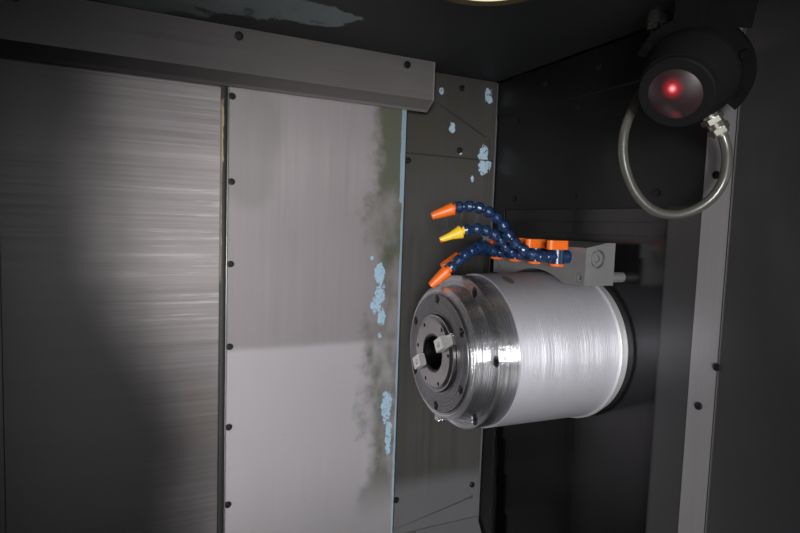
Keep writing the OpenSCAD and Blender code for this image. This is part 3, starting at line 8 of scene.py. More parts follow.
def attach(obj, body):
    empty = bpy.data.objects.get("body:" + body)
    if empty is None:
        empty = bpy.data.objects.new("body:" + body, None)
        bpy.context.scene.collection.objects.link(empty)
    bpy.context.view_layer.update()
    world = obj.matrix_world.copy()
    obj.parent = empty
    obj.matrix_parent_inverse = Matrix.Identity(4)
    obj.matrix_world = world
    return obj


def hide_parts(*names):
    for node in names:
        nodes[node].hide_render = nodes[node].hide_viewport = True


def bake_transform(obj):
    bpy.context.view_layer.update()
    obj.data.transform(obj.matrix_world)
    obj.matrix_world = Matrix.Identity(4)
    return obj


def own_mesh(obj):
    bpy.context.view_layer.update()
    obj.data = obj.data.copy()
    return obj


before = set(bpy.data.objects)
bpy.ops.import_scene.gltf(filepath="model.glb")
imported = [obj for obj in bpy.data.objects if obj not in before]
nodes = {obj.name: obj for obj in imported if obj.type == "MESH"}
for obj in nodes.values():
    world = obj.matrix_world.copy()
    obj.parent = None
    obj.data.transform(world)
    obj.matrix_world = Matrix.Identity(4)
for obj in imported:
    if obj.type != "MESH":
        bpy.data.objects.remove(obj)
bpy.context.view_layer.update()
bpy.ops.object.select_all(action="DESELECT")
scene = bpy.context.scene
print("frame loaded,", len(nodes), "nodes")

photoView = {
    "place": (-0.5102, -0.66456, 1.77947),
    "yaw": 25.6747,      # degrees from +Y towards +X
    "pitch": 4.4132,     # degrees down
    "roll": -1.9491,
    "lens": 25.140,
}


def aimCamera():
    yaw, pitch, roll = (math.radians(photoView[k]) for k in ("yaw", "pitch", "roll"))
    ahead = Vector((math.sin(yaw) * math.cos(pitch), math.cos(yaw) * math.cos(pitch), -math.sin(pitch)))
    right = Vector((math.cos(yaw), -math.sin(yaw), 0))
    down = ahead.cross(right)
    turnedRight = math.cos(roll) * right + math.sin(roll) * down
    turnedDown = -math.sin(roll) * right + math.cos(roll) * down
    camera = bpy.data.objects.new("photoCamera", bpy.data.cameras.new("photoCamera"))
    scene.collection.objects.link(camera)
    turn = Matrix((turnedRight, -turnedDown, -ahead)).transposed().to_4x4()
    camera.matrix_world = Matrix.Translation(photoView["place"]) @ turn
    camera.data.lens = photoView["lens"]
    camera.data.sensor_width = 36
    camera.data.clip_start = 0.02
    camera.data.dof.use_dof = False
    scene.camera = camera


aimCamera()


# shader maths: a socket that adds its own Math nodes
class Wire:
    def __init__(self, tree, socket):
        self.tree, self.socket = tree, socket

    def math(self, operation, *values):
        node = self.tree.nodes.new("ShaderNodeMath")
        node.operation = operation
        for entry, value in zip(node.inputs, values):
            if isinstance(value, Wire):
                self.tree.links.new(value.socket, entry)
            else:
                entry.default_value = value
        return Wire(self.tree, node.outputs[0])

    def __add__(self, other):
        return self.math("ADD", self, other)

    def __sub__(self, other):
        return self.math("SUBTRACT", self, other)

    def __rsub__(self, other):
        return self.math("SUBTRACT", other, self)

    def __mul__(self, other):
        return self.math("MULTIPLY", self, other)

    def __truediv__(self, other):
        return self.math("DIVIDE", self, other)

    def __pow__(self, other):
        return self.math("POWER", self, other)

    def __or__(self, other):  # the greater of two
        return self.math("MAXIMUM", self, other)

    def __abs__(self):
        return self.math("ABSOLUTE", self)

    __radd__ = __add__
    __rmul__ = __mul__


class Finish:
    def __init__(self, name, colour, rough, metal=0.0, **fixed):
        self.material = bpy.data.materials.new(name)
        self.material.use_nodes = True
        self.tree = self.material.node_tree
        self.shader = self.tree.nodes["Principled BSDF"]
        self.put("Base Color", (*colour, 1))
        self.put("Roughness", rough)
        self.put("Metallic", metal)
        for socket, value in fixed.items():
            self.put(socket.replace("_", " "), value)
        self.place = self.node("ShaderNodeTexCoord", output="Object")
        parts = self.tree.nodes.new("ShaderNodeSeparateXYZ")
        self.tree.links.new(self.place.socket, parts.inputs[0])
        self.x, self.y, self.z = (Wire(self.tree, s) for s in parts.outputs)

    def node(self, kind, settings=None, sockets=None, output=0):
        node = self.tree.nodes.new(kind)
        for key, value in (settings or {}).items():
            setattr(node, key, value)
        for key, value in (sockets or {}).items():
            if isinstance(value, Wire):
                self.tree.links.new(value.socket, node.inputs[key])
            else:
                node.inputs[key].default_value = value
        return Wire(self.tree, node.outputs[output])

    def put(self, socket, value):
        if isinstance(value, Wire):
            self.tree.links.new(value.socket, self.shader.inputs[socket])
        else:
            self.shader.inputs[socket].default_value = value

    def noise(self, scale, detail=3.0, stretch=(1, 1, 1), shift=(0, 0, 0), rough=0.5):
        moved = self.node("ShaderNodeMapping", None,
                          {"Vector": self.place, "Location": shift, "Scale": stretch})
        return self.node("ShaderNodeTexNoise", None,
                         {"Vector": moved, "Scale": scale, "Detail": detail, "Roughness": rough})

    def step(self, value, low, high):
        return self.node("ShaderNodeMapRange", {"interpolation_type": "SMOOTHSTEP"},
                         {"Value": value, "From Min": low, "From Max": high})

    def band(self, value, low, high, soft):
        return self.step(value, low - soft, low) * (1 - self.step(value, high, high + soft))

    def mix(self, share, first, second):
        def full(c):
            return c if isinstance(c, Wire) else (*c, 1) if len(c) == 3 else c
        return self.node("ShaderNodeMix", {"data_type": "RGBA"},
                         {0: share, 6: full(first), 7: full(second)}, output=2)

    def shaded(self, colour, share):
        grey = self.node("ShaderNodeCombineColor", None, {"Red": share, "Green": share, "Blue": share})
        return self.node("ShaderNodeMix", {"data_type": "RGBA", "blend_type": "MULTIPLY"},
                         {0: 1.0, 6: colour if isinstance(colour, Wire) else (*colour, 1), 7: grey}, output=2)

    def bump(self, height, strength=0.3, distance=0.0005):
        sockets = {"Height": height, "Strength": strength, "Distance": distance}
        self.put("Normal", self.node("ShaderNodeBump", None, sockets, "Normal"))

    def along(self, start, way):
        # distance along a direction, counted from a point
        parts = [(getattr(self, axis) - at) * w for axis, at, w in zip("xyz", start, way)]
        return parts[0] + parts[1] + parts[2]

    def spot(self, centre, radius, axes="xz", ragged=0.5, grain=None, soft=0.08):
        # a ragged patch round a place on a flat wall, 1 inside and 0 outside
        value = None
        for axis, middle, reach in zip(axes, centre, radius):
            part = ((getattr(self, axis) - middle) / reach) ** 2.0
            value = part if value is None else value + part
        if ragged:
            value = value + ((grain or self.grain) - 0.5) * (4 * ragged)
        return self.step(value, 1 + soft, 1 - soft)

    def spots(self, places, **how):
        found = None
        for centre, radius in places:
            one = self.spot(centre, radius, **how)
            found = one if found is None else found | one
        return found


def distance(a, b):
    return (a ** 2.0 + b ** 2.0) ** 0.5


def dress(finish, *names):
    # gives CAD nodes their finish
    for name in names:
        node = nodes[name]
        if not node.material_slots:
            node.data.materials.append(finish.material)
        for place in node.material_slots:
            place.material = finish.material


# what a maker does with a piece
def clear():
    if bpy.context.object and bpy.context.object.mode != "OBJECT":
        bpy.ops.object.mode_set(mode="OBJECT")
    bpy.ops.object.select_all(action="DESELECT")


def alone(piece):
    clear()
    piece.select_set(True)
    bpy.context.view_layer.objects.active = piece
    return piece


def settle(piece, name):
    alone(piece).name = name
    bpy.ops.object.transform_apply(location=True, rotation=True, scale=True)
    return piece


def shape(piece, kind, **how):
    tool = piece.modifiers.new(kind.lower(), kind)
    for key, value in how.items():
        setattr(tool, key, value)
    alone(piece)
    bpy.ops.object.modifier_apply(modifier=tool.name)
    return piece


def rounded(piece, edge, segments=2):
    return shape(piece, "BEVEL", width=edge, segments=segments, limit_method="ANGLE",
                 angle_limit=math.radians(40), use_clamp_overlap=True)


def box(name, low, high, edge=0.001, segments=2):
    clear()
    middle = [(a + b) / 2 for a, b in zip(low, high)]
    bpy.ops.mesh.primitive_cube_add(size=1, location=middle, scale=[b - a for a, b in zip(low, high)])
    piece = settle(bpy.context.object, name)
    return rounded(piece, edge, segments) if edge else piece


def rod(name, start, end, radius, sides=24, edge=0.0):
    clear()
    start, end = Vector(start), Vector(end)
    turn = (end - start).to_track_quat("Z", "Y").to_euler()
    bpy.ops.mesh.primitive_cylinder_add(vertices=sides, radius=radius, depth=(end - start).length,
                                        location=(start + end) / 2, rotation=turn)
    piece = settle(bpy.context.object, name)
    return rounded(piece, edge) if edge else piece


def edit(piece, test):
    # goes to edit mode with the faces selected that pass a test on their middle and normal
    alone(piece)
    bpy.ops.object.mode_set(mode="EDIT")
    bpy.ops.mesh.select_mode(type="FACE")
    bpy.ops.mesh.select_all(action="DESELECT")
    shell = bmesh.from_edit_mesh(piece.data)
    for face in shell.faces:
        face.select_set(bool(test(face.calc_center_median(), face.normal)))
    bmesh.update_edit_mesh(piece.data)


def push(way):
    bpy.ops.mesh.extrude_region_move(TRANSFORM_OT_translate={"value": tuple(way)})


def done():
    bpy.ops.object.mode_set(mode="OBJECT")


def recess(piece, facing, rim, deep):
    # the side that looks one way keeps a rim, and what is inside it goes in
    facing = Vector(facing)
    reach = max(v.co.dot(facing) for v in piece.data.vertices) - 0.0005
    edit(piece, lambda middle, normal: normal.dot(facing) > 0.99 and middle.dot(facing) > reach)
    bpy.ops.mesh.inset(thickness=rim)
    push(-facing * deep)
    done()
    return piece


def own(piece, body, finish, smooth=35):
    # the piece gets its finish, smooth sides and the body that it rides on
    alone(piece)
    piece.data.materials.clear()
    piece.data.materials.append(finish.material)
    if smooth:
        bpy.ops.object.shade_smooth_by_angle(angle=math.radians(smooth))
    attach(piece, body)
    return piece


def joined(parts, name):
    if len(parts) == 1:
        parts[0].name = name
        return parts[0]
    clear()
    for part in parts:
        part.select_set(True)
    bpy.context.view_layer.objects.active = parts[0]
    bpy.ops.object.join()
    parts[0].name = name
    return parts[0]


def copied(model, name, places):
    # one copy at each place, its own +Z turned to the given direction, all joined
    parts = []
    for place, facing in places:
        part = model.copy()
        part.data = model.data.copy()
        scene.collection.objects.link(part)
        turn = Vector((0, 0, 1)).rotation_difference(Vector(facing)).to_matrix().to_4x4()
        part.data.transform(Matrix.Translation(place) @ turn)
        parts.append(part)
    bpy.data.objects.remove(model)
    return joined(parts, name)


def buttonScrew(radius, height):
    clear()
    bpy.ops.mesh.primitive_cylinder_add(vertices=12, radius=radius, depth=height, location=(0, 0, height / 2))
    screw = settle(bpy.context.object, "screwModel")
    edit(screw, lambda middle, normal: normal.z > 0.9)
    bpy.ops.mesh.inset(thickness=radius * 0.16, depth=height * 0.24)
    bpy.ops.mesh.inset(thickness=radius * 0.30, depth=height * 0.06)
    push((0, 0, -height * 0.6))
    done()
    return screw


def soften(edge, *names):
    # rounds the edges of boxy CAD nodes
    for name in names:
        node = nodes[name]
        weld = node.modifiers.new("weld", "WELD")
        weld.merge_threshold = 0.00002
        bevel = node.modifiers.new("bevel", "BEVEL")
        bevel.width, bevel.segments, bevel.limit_method = edge, 2, "ANGLE"
        bevel.angle_limit = math.radians(50)
        bevel.use_clamp_overlap = True
        normals = node.modifiers.new("normals", "WEIGHTED_NORMAL")
        normals.keep_sharp = True


def plain(name, tone, rough, metal=0.0, speck=0.12, bump=0.1, scale=120, **fixed):
    # paint or plastic with a faint mottle
    f = Finish(name, tone, rough, metal, **fixed)
    mottle = f.noise(scale, 4, (1, 1, 1), (0.3, 0.8, 0.1), 0.6)
    wide = f.noise(scale * 0.05, 4, (1, 1, 1), (0.9, 0.1, 0.4), 0.6)
    f.wide = wide
    darker, paler = tuple(c * (1 - speck) for c in tone), tuple(min(1, c * (1 + speck)) for c in tone)
    f.tone = f.mix(mottle * 0.5 + wide * 0.5, darker, paler)
    f.put("Base Color", f.tone)
    f.put("Roughness", (wide - 0.5) * 0.2 + rough)
    f.bump(mottle, bump, 0.0006)
    return f


# the receiver's cord: its route in millimetres, as the source has it
conduitPlan = {
    "radius": 0.0054,
    "between": 6,    # points added from one point of the route to the next
    "tone": (0.066, 0.063, 0.054),
    "route": [(47.9, -266.6, 1891.2), (53.6, -268, 1884.4), (57.5, -271, 1871), (57.5, -273, 1856),
              (54.5, -272.5, 1836), (48, -266, 1818), (38, -254, 1805), (26, -238, 1799), (13, -221, 1804),
              (1.5, -207.5, 1821), (-6, -199, 1844), (-10, -195, 1868), (-8.5, -194, 1892), (0, -193, 1912),
              (13, -190, 1930), (27, -186, 1948), (36, -184, 1968), (40, -184, 1990), (41, -184, 2008),
              (41, -184, 2021)],
}


def smoothRoute(points, between):
    # one smooth curve through all the points, in metres
    points = [Vector(p) / 1000 for p in points]
    padded = [2 * points[0] - points[1]] + points + [2 * points[-1] - points[-2]]
    line = []
    for i in range(1, len(padded) - 2):
        a, b, c, d = padded[i - 1:i + 3]
        for s in range(between):
            t = s / between
            line.append(0.5 * (2 * b + (c - a) * t + (2 * a - 5 * b + 4 * c - d) * t * t
                               + (3 * b - a - 3 * c + d) * t ** 3))
    return line + [points[-1]]


def layConduit():
    line = smoothRoute(conduitPlan["route"], conduitPlan["between"])
    curve = bpy.data.curves.new("receiverCord", "CURVE")
    curve.dimensions = "3D"
    curve.bevel_depth = conduitPlan["radius"]
    curve.bevel_resolution = 6
    curve.use_fill_caps = True
    spline = curve.splines.new("POLY")
    spline.points.add(len(line) - 1)
    for point, at in zip(spline.points, line):
        point.co = (*at, 1)
    spline.use_smooth = True
    cord = bpy.data.objects.new("receiverCord", curve)
    scene.collection.objects.link(cord)
    grey = plain("conduitGrey", conduitPlan["tone"], 0.36, 0, 0.25, 0.15, 240,
                 Coat_Weight=0.4, Coat_Roughness=0.15)
    curve.materials.append(grey.material)
    length = sum((b - a).length for a, b in zip(line, line[1:]))
    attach(cord, "base")
    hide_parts("receiver_conduit")
    print("conduit laid,", round(length, 3), "m")


layConduit()

# wall sheets of the working area: patches are a middle and a reach, on x and z, or x and y on the ceiling
wallLook = {
    "frontTone": (0.275, 0.250, 0.257),
    "rearTone": (0.290, 0.262, 0.265),
    "linerTone": (0.062, 0.060, 0.057),
    "guideTone": (0.165, 0.150, 0.150),
    "paintedReflectionHeight": 1.588,    # painted reflection: the leaves are painted paler below it
    "flakeTone": (0.30, 0.45, 0.58),
    "linerFlakeTone": (0.36, 0.49, 0.59),
    "stripTone": (0.23, 0.33, 0.41),
    "olive": (0.070, 0.080, 0.050),
    "frontFlakes": [((-0.1525, 1.697), (0.0085, 0.017)), ((-0.1500, 1.664), (0.0080, 0.018)),
                    ((-0.1560, 1.645), (0.0080, 0.014)), ((-0.1470, 1.628), (0.0065, 0.014)),
                    ((-0.1315, 1.474), (0.0090, 0.030)), ((-0.1270, 1.430), (0.0055, 0.030)),
                    ((-0.1660, 1.722), (0.003, 0.004)), ((-0.1480, 1.597), (0.003, 0.004))],
    "linerFlakes": [((0.057, 2.010), (0.010, 0.014)), ((0.050, 1.905), (0.010, 0.016)),
                    ((0.054, 1.885), (0.013, 0.014)), ((-0.015, 1.947), (0.006, 0.009)),
                    ((-0.039, 2.004), (0.0045, 0.006)), ((0.068, 1.764), (0.010, 0.015)),
                    ((0.030, 1.862), (0.003, 0.005)), ((0.004, 1.905), (0.003, 0.004))],
    "bareCeiling": [((-0.40, 0.035), (0.150, 0.050)), ((-0.500, 0.105), (0.075, 0.030)),
                    ((-0.62, 0.150), (0.03, 0.015))],
}


def brushed(name, tone, along, fine, depth=0.35, metal=0.55, rough=0.42, clouds=0.35, bump=0.25):
    # rolled sheet: long scratches along one axis, soft clouds
    finish = Finish(name, tone, rough, metal)
    longWays = {"x": (0.012, 1, 1), "y": (1, 0.012, 1), "z": (1, 1, 0.012)}[along]
    lines = finish.noise(fine, 4, longWays)
    broad = finish.noise(fine * 0.16, 2, longWays, (3.1, 0, 1.7))
    cloud = finish.noise(3.2, 5, (1, 1, 1), (0.4, 0.1, 0.7), 0.6)
    finish.grain = finish.noise(75, 6, (1, 1, 1), (1.3, 0.2, 0.5), 0.65)
    finish.cloud = cloud
    shade = (lines - 0.5) * (2 * depth) + (broad - 0.5) * depth + (cloud - 0.5) * (2 * clouds) + 1.0
    finish.tone = finish.shaded(tone, shade)
    finish.put("Base Color", finish.tone)
    finish.put("Roughness", (lines - 0.5) * 0.3 + (cloud - 0.5) * 0.2 + rough)
    finish.bump(lines, bump, 0.0004)
    return finish


def shadeLeft(f, tone, least, start=-0.665, end=-0.40, lean=0.0):
    # painted shade: the sheet darker towards the far left corner, which the doorway's side keeps in shade,
    # and by the lean more so low down
    uneven = (f.noise(6, 3, (1, 1, 0.6), (0.7, 0, 0.2)) - 0.5) * 0.10 - (1 - f.step(f.z, 1.46, 1.72)) * lean
    share = f.step(f.x + uneven, start, end)
    return f.shaded(tone, share * (1 - least) + least)


def rearLeafFinish():
    f = brushed("scratchedLeaf", wallLook["rearTone"], "x", 300, 0.36, 0.45, 0.42, 0.20)
    line = wallLook["paintedReflectionHeight"]
    fine = f.step(f.noise(150, 6, (0.03, 1, 1), (0.2, 0, 0.9), 0.75), 0.50, 0.70)
    # painted highlight: a band in which the real pale scratch lines are drawn strongest
    highlightBand = f.band(f.z, 1.66, 1.80, 0.09) * f.step(f.x, -0.62, -0.42)
    upper = f.step(f.z, 1.42, 1.68)
    # painted reflection: the rear leaf a little paler below the reflection line
    low = 1 - f.step(f.z + (f.cloud - 0.5) * 0.02, line - 0.008, line + 0.006)
    rub = f.band(f.x, -0.446, -0.405, 0.006) * f.band(f.z, 1.452, 1.535, 0.010) * f.step(f.grain, 0.25, 0.5)
    tone = f.mix(low * 0.15, f.tone, (0.290, 0.265, 0.275))
    tone = f.mix(fine * upper * 0.20 | fine * highlightBand * 0.75, tone, (0.56, 0.53, 0.52))
    tone = f.mix(rub * 0.16, tone, (0.42, 0.33, 0.24))
    # painted shade towards the far left corner
    f.put("Base Color", shadeLeft(f, tone, 0.04, -0.610, -0.40, 0.11))
    return f


def frontLeafFinish():
    f = brushed("stainedLeaf", wallLook["frontTone"], "z", 520, 0.12, 0.40, 0.50, 0.16)
    line = wallLook["paintedReflectionHeight"]
    wander = f.noise(11, 5, (1, 1, 1), (0.2, 0, 0.4), 0.6) - 0.5
    edge = f.step(f.x + wander * 0.11 + (f.grain - 0.5) * 0.025, -0.182, -0.150)
    fade = f.step(f.noise(16, 5, (1, 1, 0.5), (0.9, 0, 0.3)), 0.30, 0.58)
    upper = f.step(f.z, 1.27, 1.40)
    corner = f.spot((-0.36, 1.90), (0.05, 0.10), ragged=0.5, grain=f.noise(14, 5), soft=0.6)
    cracked = f.step(f.noise(210, 5, (1, 1, 1), (0.7, 0, 0.2), 0.7), 0.40, 0.46)
    paint = f.spots(wallLook["frontFlakes"], ragged=1.3, soft=0.06) * cracked
    torn = f.noise(34, 6, (1, 1, 0.6), (0, 0, 1.1), 0.7)
    width = f.band(f.z, 1.815, 1.975, 0.004) * 0.0045 + torn * 0.0065 - 0.0012
    left = f.step(f.noise(14, 6, (1, 1, 1), (0, 0, 2.3), 0.7), 0.36, 0.42)
    strip = f.step(f.x + 0.1150 + width, 0.0, 0.0006) * left    # old paint along the leaf's free edge
    specks = f.step(f.noise(260, 2, (1, 1, 1), (0.4, 0, 0)), 0.74, 0.80)
    # painted reflection: the front leaf much paler below the reflection line
    low = 1 - f.step(f.z + (f.cloud - 0.5) * 0.01, line - 0.007, line + 0.007)
    tone = f.mix(low * 0.85, f.tone, (0.440, 0.415, 0.440))
    tone = f.mix(edge * fade * upper * 0.88, tone, wallLook["olive"])
    tone = f.mix(corner * 0.25, tone, wallLook["olive"])
    tone = f.mix(specks * 0.35, tone, (0.05, 0.05, 0.05))
    # painted shade towards the bottom of the leaf and painted light towards its top
    tone = f.shaded(tone, f.step(f.z, 1.16, 1.42) * 0.40 + f.step(f.z, 1.72, 1.95) * 0.25 + 0.60)
    tone = f.mix(strip * 0.8, tone, wallLook["stripTone"])
    tone = f.mix(paint * 0.95, tone, wallLook["flakeTone"])
    f.put("Base Color", tone)
    f.put("Metallic", 0.40 - (paint | strip) * 0.4)
    return f


def linerFinish():
    f = brushed("wornLiner", wallLook["linerTone"], "z", 260, 0.16, 0.30, 0.48, 0.35)
    cracked = f.step(f.noise(210, 5, (1, 1, 1), (0.7, 0, 0.2), 0.7), 0.38, 0.44)
    paint = f.spots(wallLook["linerFlakes"], ragged=1.2, soft=0.06) * cracked
    seam = f.band(f.z, 1.8952, 1.8972, 0.0005)
    rust = f.step(f.noise(16, 6, (1, 1, 0.6), (2, 0, 1), 0.7), 0.50, 0.66) * f.step(f.z, 1.55, 1.9)
    # painted light: paler below the spindle's shadow, the lit lower part of the liner
    lower = 1 - f.step(f.z + (f.cloud - 0.5) * 0.06, 1.305, 1.345)
    tone = f.mix(lower * 0.65, f.tone, (0.165, 0.160, 0.170))
    tone = f.mix(rust * 0.55, tone, (0.066, 0.056, 0.036))
    tone = f.mix(paint, tone, wallLook["linerFlakeTone"])
    tone = f.mix(seam * 0.8, tone, (0.015, 0.015, 0.015))
    f.put("Base Color", tone)
    f.put("Metallic", 0.30 - paint * 0.30)
    return f


def guideFinish():
    f = brushed("guideCover", wallLook["guideTone"], "x", 240, 0.14, 0.35, 0.46, 0.22)
    # painted highlight: pale lines along the guide's folded lower edge and its end fold
    endFold = f.band(f.x, -0.0812, -0.0795, 0.0010) * f.step(f.z, 1.96, 1.97)
    fold = f.band(f.z, 1.9605, 1.9628, 0.0012) | endFold
    tone = f.mix(fold * 0.55, f.tone, (0.34, 0.32, 0.31))
    # painted shade towards the far left corner
    f.put("Base Color", shadeLeft(f, tone, 0.04, -0.66, -0.10))
    return f


def ceilingFinish():
    f = Finish("ceilingPaint", (0.030, 0.031, 0.032), 0.55, 0.1)
    f.grain = f.noise(22, 7, (1, 1, 1), (0.3, 0, 0), 0.7)
    bare = f.spots(wallLook["bareCeiling"], axes="xy", ragged=0.55, soft=0.05)
    hole = f.step(f.noise(17, 6, (1, 1, 1), (0.8, 0.1, 0), 0.65), 0.52, 0.60)
    clouds = f.noise(5, 5)
    tone = f.mix(clouds * 0.6, (0.020, 0.021, 0.022), (0.044, 0.046, 0.048))
    pale = f.mix(f.noise(45, 5), (0.20, 0.24, 0.25), (0.32, 0.37, 0.38))
    tone = f.mix(bare * (1 - hole * 0.85), tone, pale)
    # painted shade towards the far left corner
    f.put("Base Color", shadeLeft(f, tone, 0.06, -0.62, -0.10))
    f.bump(f.grain, 0.15, 0.001)
    return f


dress(rearLeafFinish(), "rear_leaf")
dress(frontLeafFinish(), "front_leaf")
dress(linerFinish(), "far_wall_liner")
dress(guideFinish(), "shutter_guide")
dress(ceilingFinish(), "chamber_ceiling")
dress(brushed("wallSheet", (0.10, 0.096, 0.098), "z", 260, 0.15, 0.4, 0.48, 0.3),
      "far_wall", "chip_pan")
soften(0.0016, "shutter_guide")
soften(0.0006, "front_leaf", "rear_leaf", "far_wall_liner")
print("walls dressed")

# covers on the column
coverLook = {"tone": (0.050, 0.049, 0.051), "post": (0.330, 0.318, 0.324), "roughness": 0.20}
spindleAxis = {"y": -0.028, "z": 1.61}    # at rest


def coverFinish():
    f = brushed("columnCover", coverLook["tone"], "z", 160, 0.10, 0.90, coverLook["roughness"], 0.35, 0.10)
    wiped = f.step(f.noise(7, 4, (1, 1, 0.25), (0, 0.4, 0)), 0.50, 0.75)
    tone = f.mix(wiped * 0.35, f.tone, (0.070, 0.068, 0.066))
    rust = f.band(f.z, 1.7595, 1.7640, 0.003) * f.step(f.noise(30, 5, (1, 1, 1)), 0.40, 0.60)
    tone = f.mix(rust * 0.6, tone, (0.070, 0.050, 0.030))
    smear = f.spot((-0.070, 1.815), (0.020, 0.006), axes="yz", ragged=0.4, grain=f.noise(30, 4), soft=0.5)
    tone = f.mix(smear * 0.35, tone, (0.20, 0.18, 0.15))
    # painted shade: the covers darker below the spindle
    tone = f.shaded(tone, f.step(f.z, 1.28, 1.55) * 0.6 + 0.4)
    f.put("Base Color", tone)
    return f


def frameFinish():
    # posts stay pale, the flat wings beside them are dark, and painted shade makes the wings beyond the near
    # post near black
    f = brushed("coverFrame", coverLook["post"], "z", 240, 0.08, 0.55, 0.40, 0.12, 0.10)
    aside = abs(f.y - spindleAxis["y"])
    sheet = (1 - f.step(aside, 0.2060, 0.2063)) | f.step(aside, 0.2405, 0.2408)
    low = 1 - f.step(f.z, 0.9, 1.8)
    dark = f.mix(low * 0.6, (0.060, 0.058, 0.060), (0.130, 0.126, 0.132))
    wiped = f.step(f.noise(6, 4, (1, 1, 0.4), (0.2, 0, 0)), 0.45, 0.8)
    dark = f.mix(wiped * 0.5, dark, (0.170, 0.165, 0.170))
    # painted shade: the middle and far wings and a strip at the top of the near wing go near black
    shady = f.step(f.y, -0.1920, -0.1880) | f.step(f.z, 1.800, 1.815) * f.step(f.y, -0.2380, -0.2330)
    dark = f.mix(shady, dark, (0.014, 0.014, 0.014))
    seam = f.band(aside, 0.2390, 0.2402, 0.0004)
    tone = f.mix(sheet, f.tone, dark)
    f.put("Base Color", f.mix(seam * 0.9, tone, (0.008, 0.008, 0.008)))
    f.put("Roughness", sheet * -0.08 + 0.40)
    return f


coverSheets = ("head_plate", "upper_cover_1", "upper_cover_2", "upper_cover_3",
               "lower_cover_1", "lower_cover_2", "lower_cover_3")
dress(coverFinish(), *coverSheets)
dress(frameFinish(), "cover_frame")
soften(0.0012, "cover_frame")
soften(0.0005, *coverSheets)
print("covers dressed")

# spindle nose
noseLook = {"sleeve": (0.78, 0.77, 0.83), "flange": (0.55, 0.55, 0.57), "cap": (0.125, 0.125, 0.13),
            "shaft": (0.26, 0.25, 0.25), "keys": (0.62, 0.61, 0.60)}


def turned(name, tone, rough=0.22, rings=900.0, metal=0.95, smear=0.3, groove=0.0020):
    # turned steel: fine rings round the spindle axis, with smears of oil
    f = Finish(name, tone, rough, metal)
    dy, dz = f.y - spindleAxis["y"], f.z - spindleAxis["z"]
    radius = ((dy * dy) + (dz * dz)) ** 0.5
    ringed = f.node("ShaderNodeTexNoise", {"noise_dimensions": "1D"}, {"W": radius * rings, "Scale": 1.0})
    length = f.node("ShaderNodeTexNoise", {"noise_dimensions": "1D"}, {"W": f.x * rings, "Scale": 1.0})
    oil = f.noise(24, 5, (1, 1, 1), (0.6, 0.2, 0), 0.6)
    f.tone = f.mix(f.step(oil, 0.45, 0.75) * smear, tone, tuple(c * 0.35 for c in tone))
    f.put("Base Color", f.tone)
    f.put("Roughness", (ringed - 0.5) * 0.14 + (length - 0.5) * 0.10 + oil * 0.16 + rough - 0.09)
    f.bump(ringed + length, 0.8, groove)
    f.radius = radius
    return f


def sleeveFinish():
    f = Finish("blastedSleeve", noseLook["sleeve"], 0.42, 0.55)
    fine = f.noise(1500, 2)
    cloud = f.noise(11, 4, (1, 1, 1), (0.2, 0.5, 0), 0.6)
    f.grain = f.noise(60, 4)
    mark = f.spot((-0.0595, -0.0592), (0.007, 0.012), axes="xy", ragged=0.25) * f.step(f.z, 1.64, 1.66)
    rim = f.step(f.x, 0.0655, 0.0675)
    mottle = f.step(f.noise(420, 3), 0.35, 0.75)
    tone = f.mix(f.step(cloud, 0.35, 0.75) * 0.25 + mottle * 0.12, noseLook["sleeve"], (0.62, 0.61, 0.65))
    tone = f.mix(mark * 0.75, tone, (0.20, 0.14, 0.10))
    away = ((f.z - 1.613) / 0.112) ** 2.0    # painted shade: darker towards its top and its underside, as the round sides turn from the light
    tone = f.shaded(tone, 1 - away * 0.60)
    tone = f.mix(rim * 0.3, tone, (0.66, 0.65, 0.64))
    f.put("Base Color", tone)
    length = f.node("ShaderNodeTexNoise", {"noise_dimensions": "1D"}, {"W": f.x * 1100, "Scale": 1.0})
    f.bump(fine * 0.3 + length, 0.6, 0.0012)
    return f


def shaftFinish():
    # painted shade: its bore is near black inside
    f = turned("spindleSteel", noseLook["shaft"], 0.24, 700, groove=0.0003)
    bore = 1 - f.step(f.radius, 0.0235, 0.0265)
    f.put("Base Color", f.mix(bore * 0.9, f.tone, (0.012, 0.012, 0.012)))
    return f


dress(sleeveFinish(), "spindle_sleeve")
dress(turned("polishedFlange", noseLook["flange"], 0.19, smear=0.2), "spindle_flange")
dress(turned("groundCap", noseLook["cap"], 0.30, 500, 0.85, groove=0.0006), "front_cap")
dress(shaftFinish(), "spindle_shaft", "spindle_bearings")
dress(plain("keySteel", noseLook["keys"], 0.35, 0.6, 0.1, 0.05, 300), "drive_keys")
screwBlack = plain("blackenedScrew", (0.022, 0.022, 0.024), 0.35, 0.6, 0.3, 0.1, 300)
dress(screwBlack, "spindle_screws")
print("spindle dressed")

# coolant block with its hoses
coolantLook = {"block": (0.20, 0.196, 0.198), "hose": (0.007, 0.026, 0.078), "orange": (0.80, 0.140, 0.010),
               "yellow": (0.86, 0.55, 0.030),
               "yellowNozzle": ((-0.125, -0.040, 1.7735), (0.040, 0.025, 0.0185))}    # middle and reach


def nozzleFinish():
    # all orange but one
    f = plain("nozzleOrangeYellow", coolantLook["orange"], 0.38, 0, 0.12, 0.05, 200)
    yellow = f.spot(*coolantLook["yellowNozzle"], axes="xyz", ragged=0.0)
    f.put("Base Color", f.mix(yellow, f.tone, coolantLook["yellow"]))
    return f


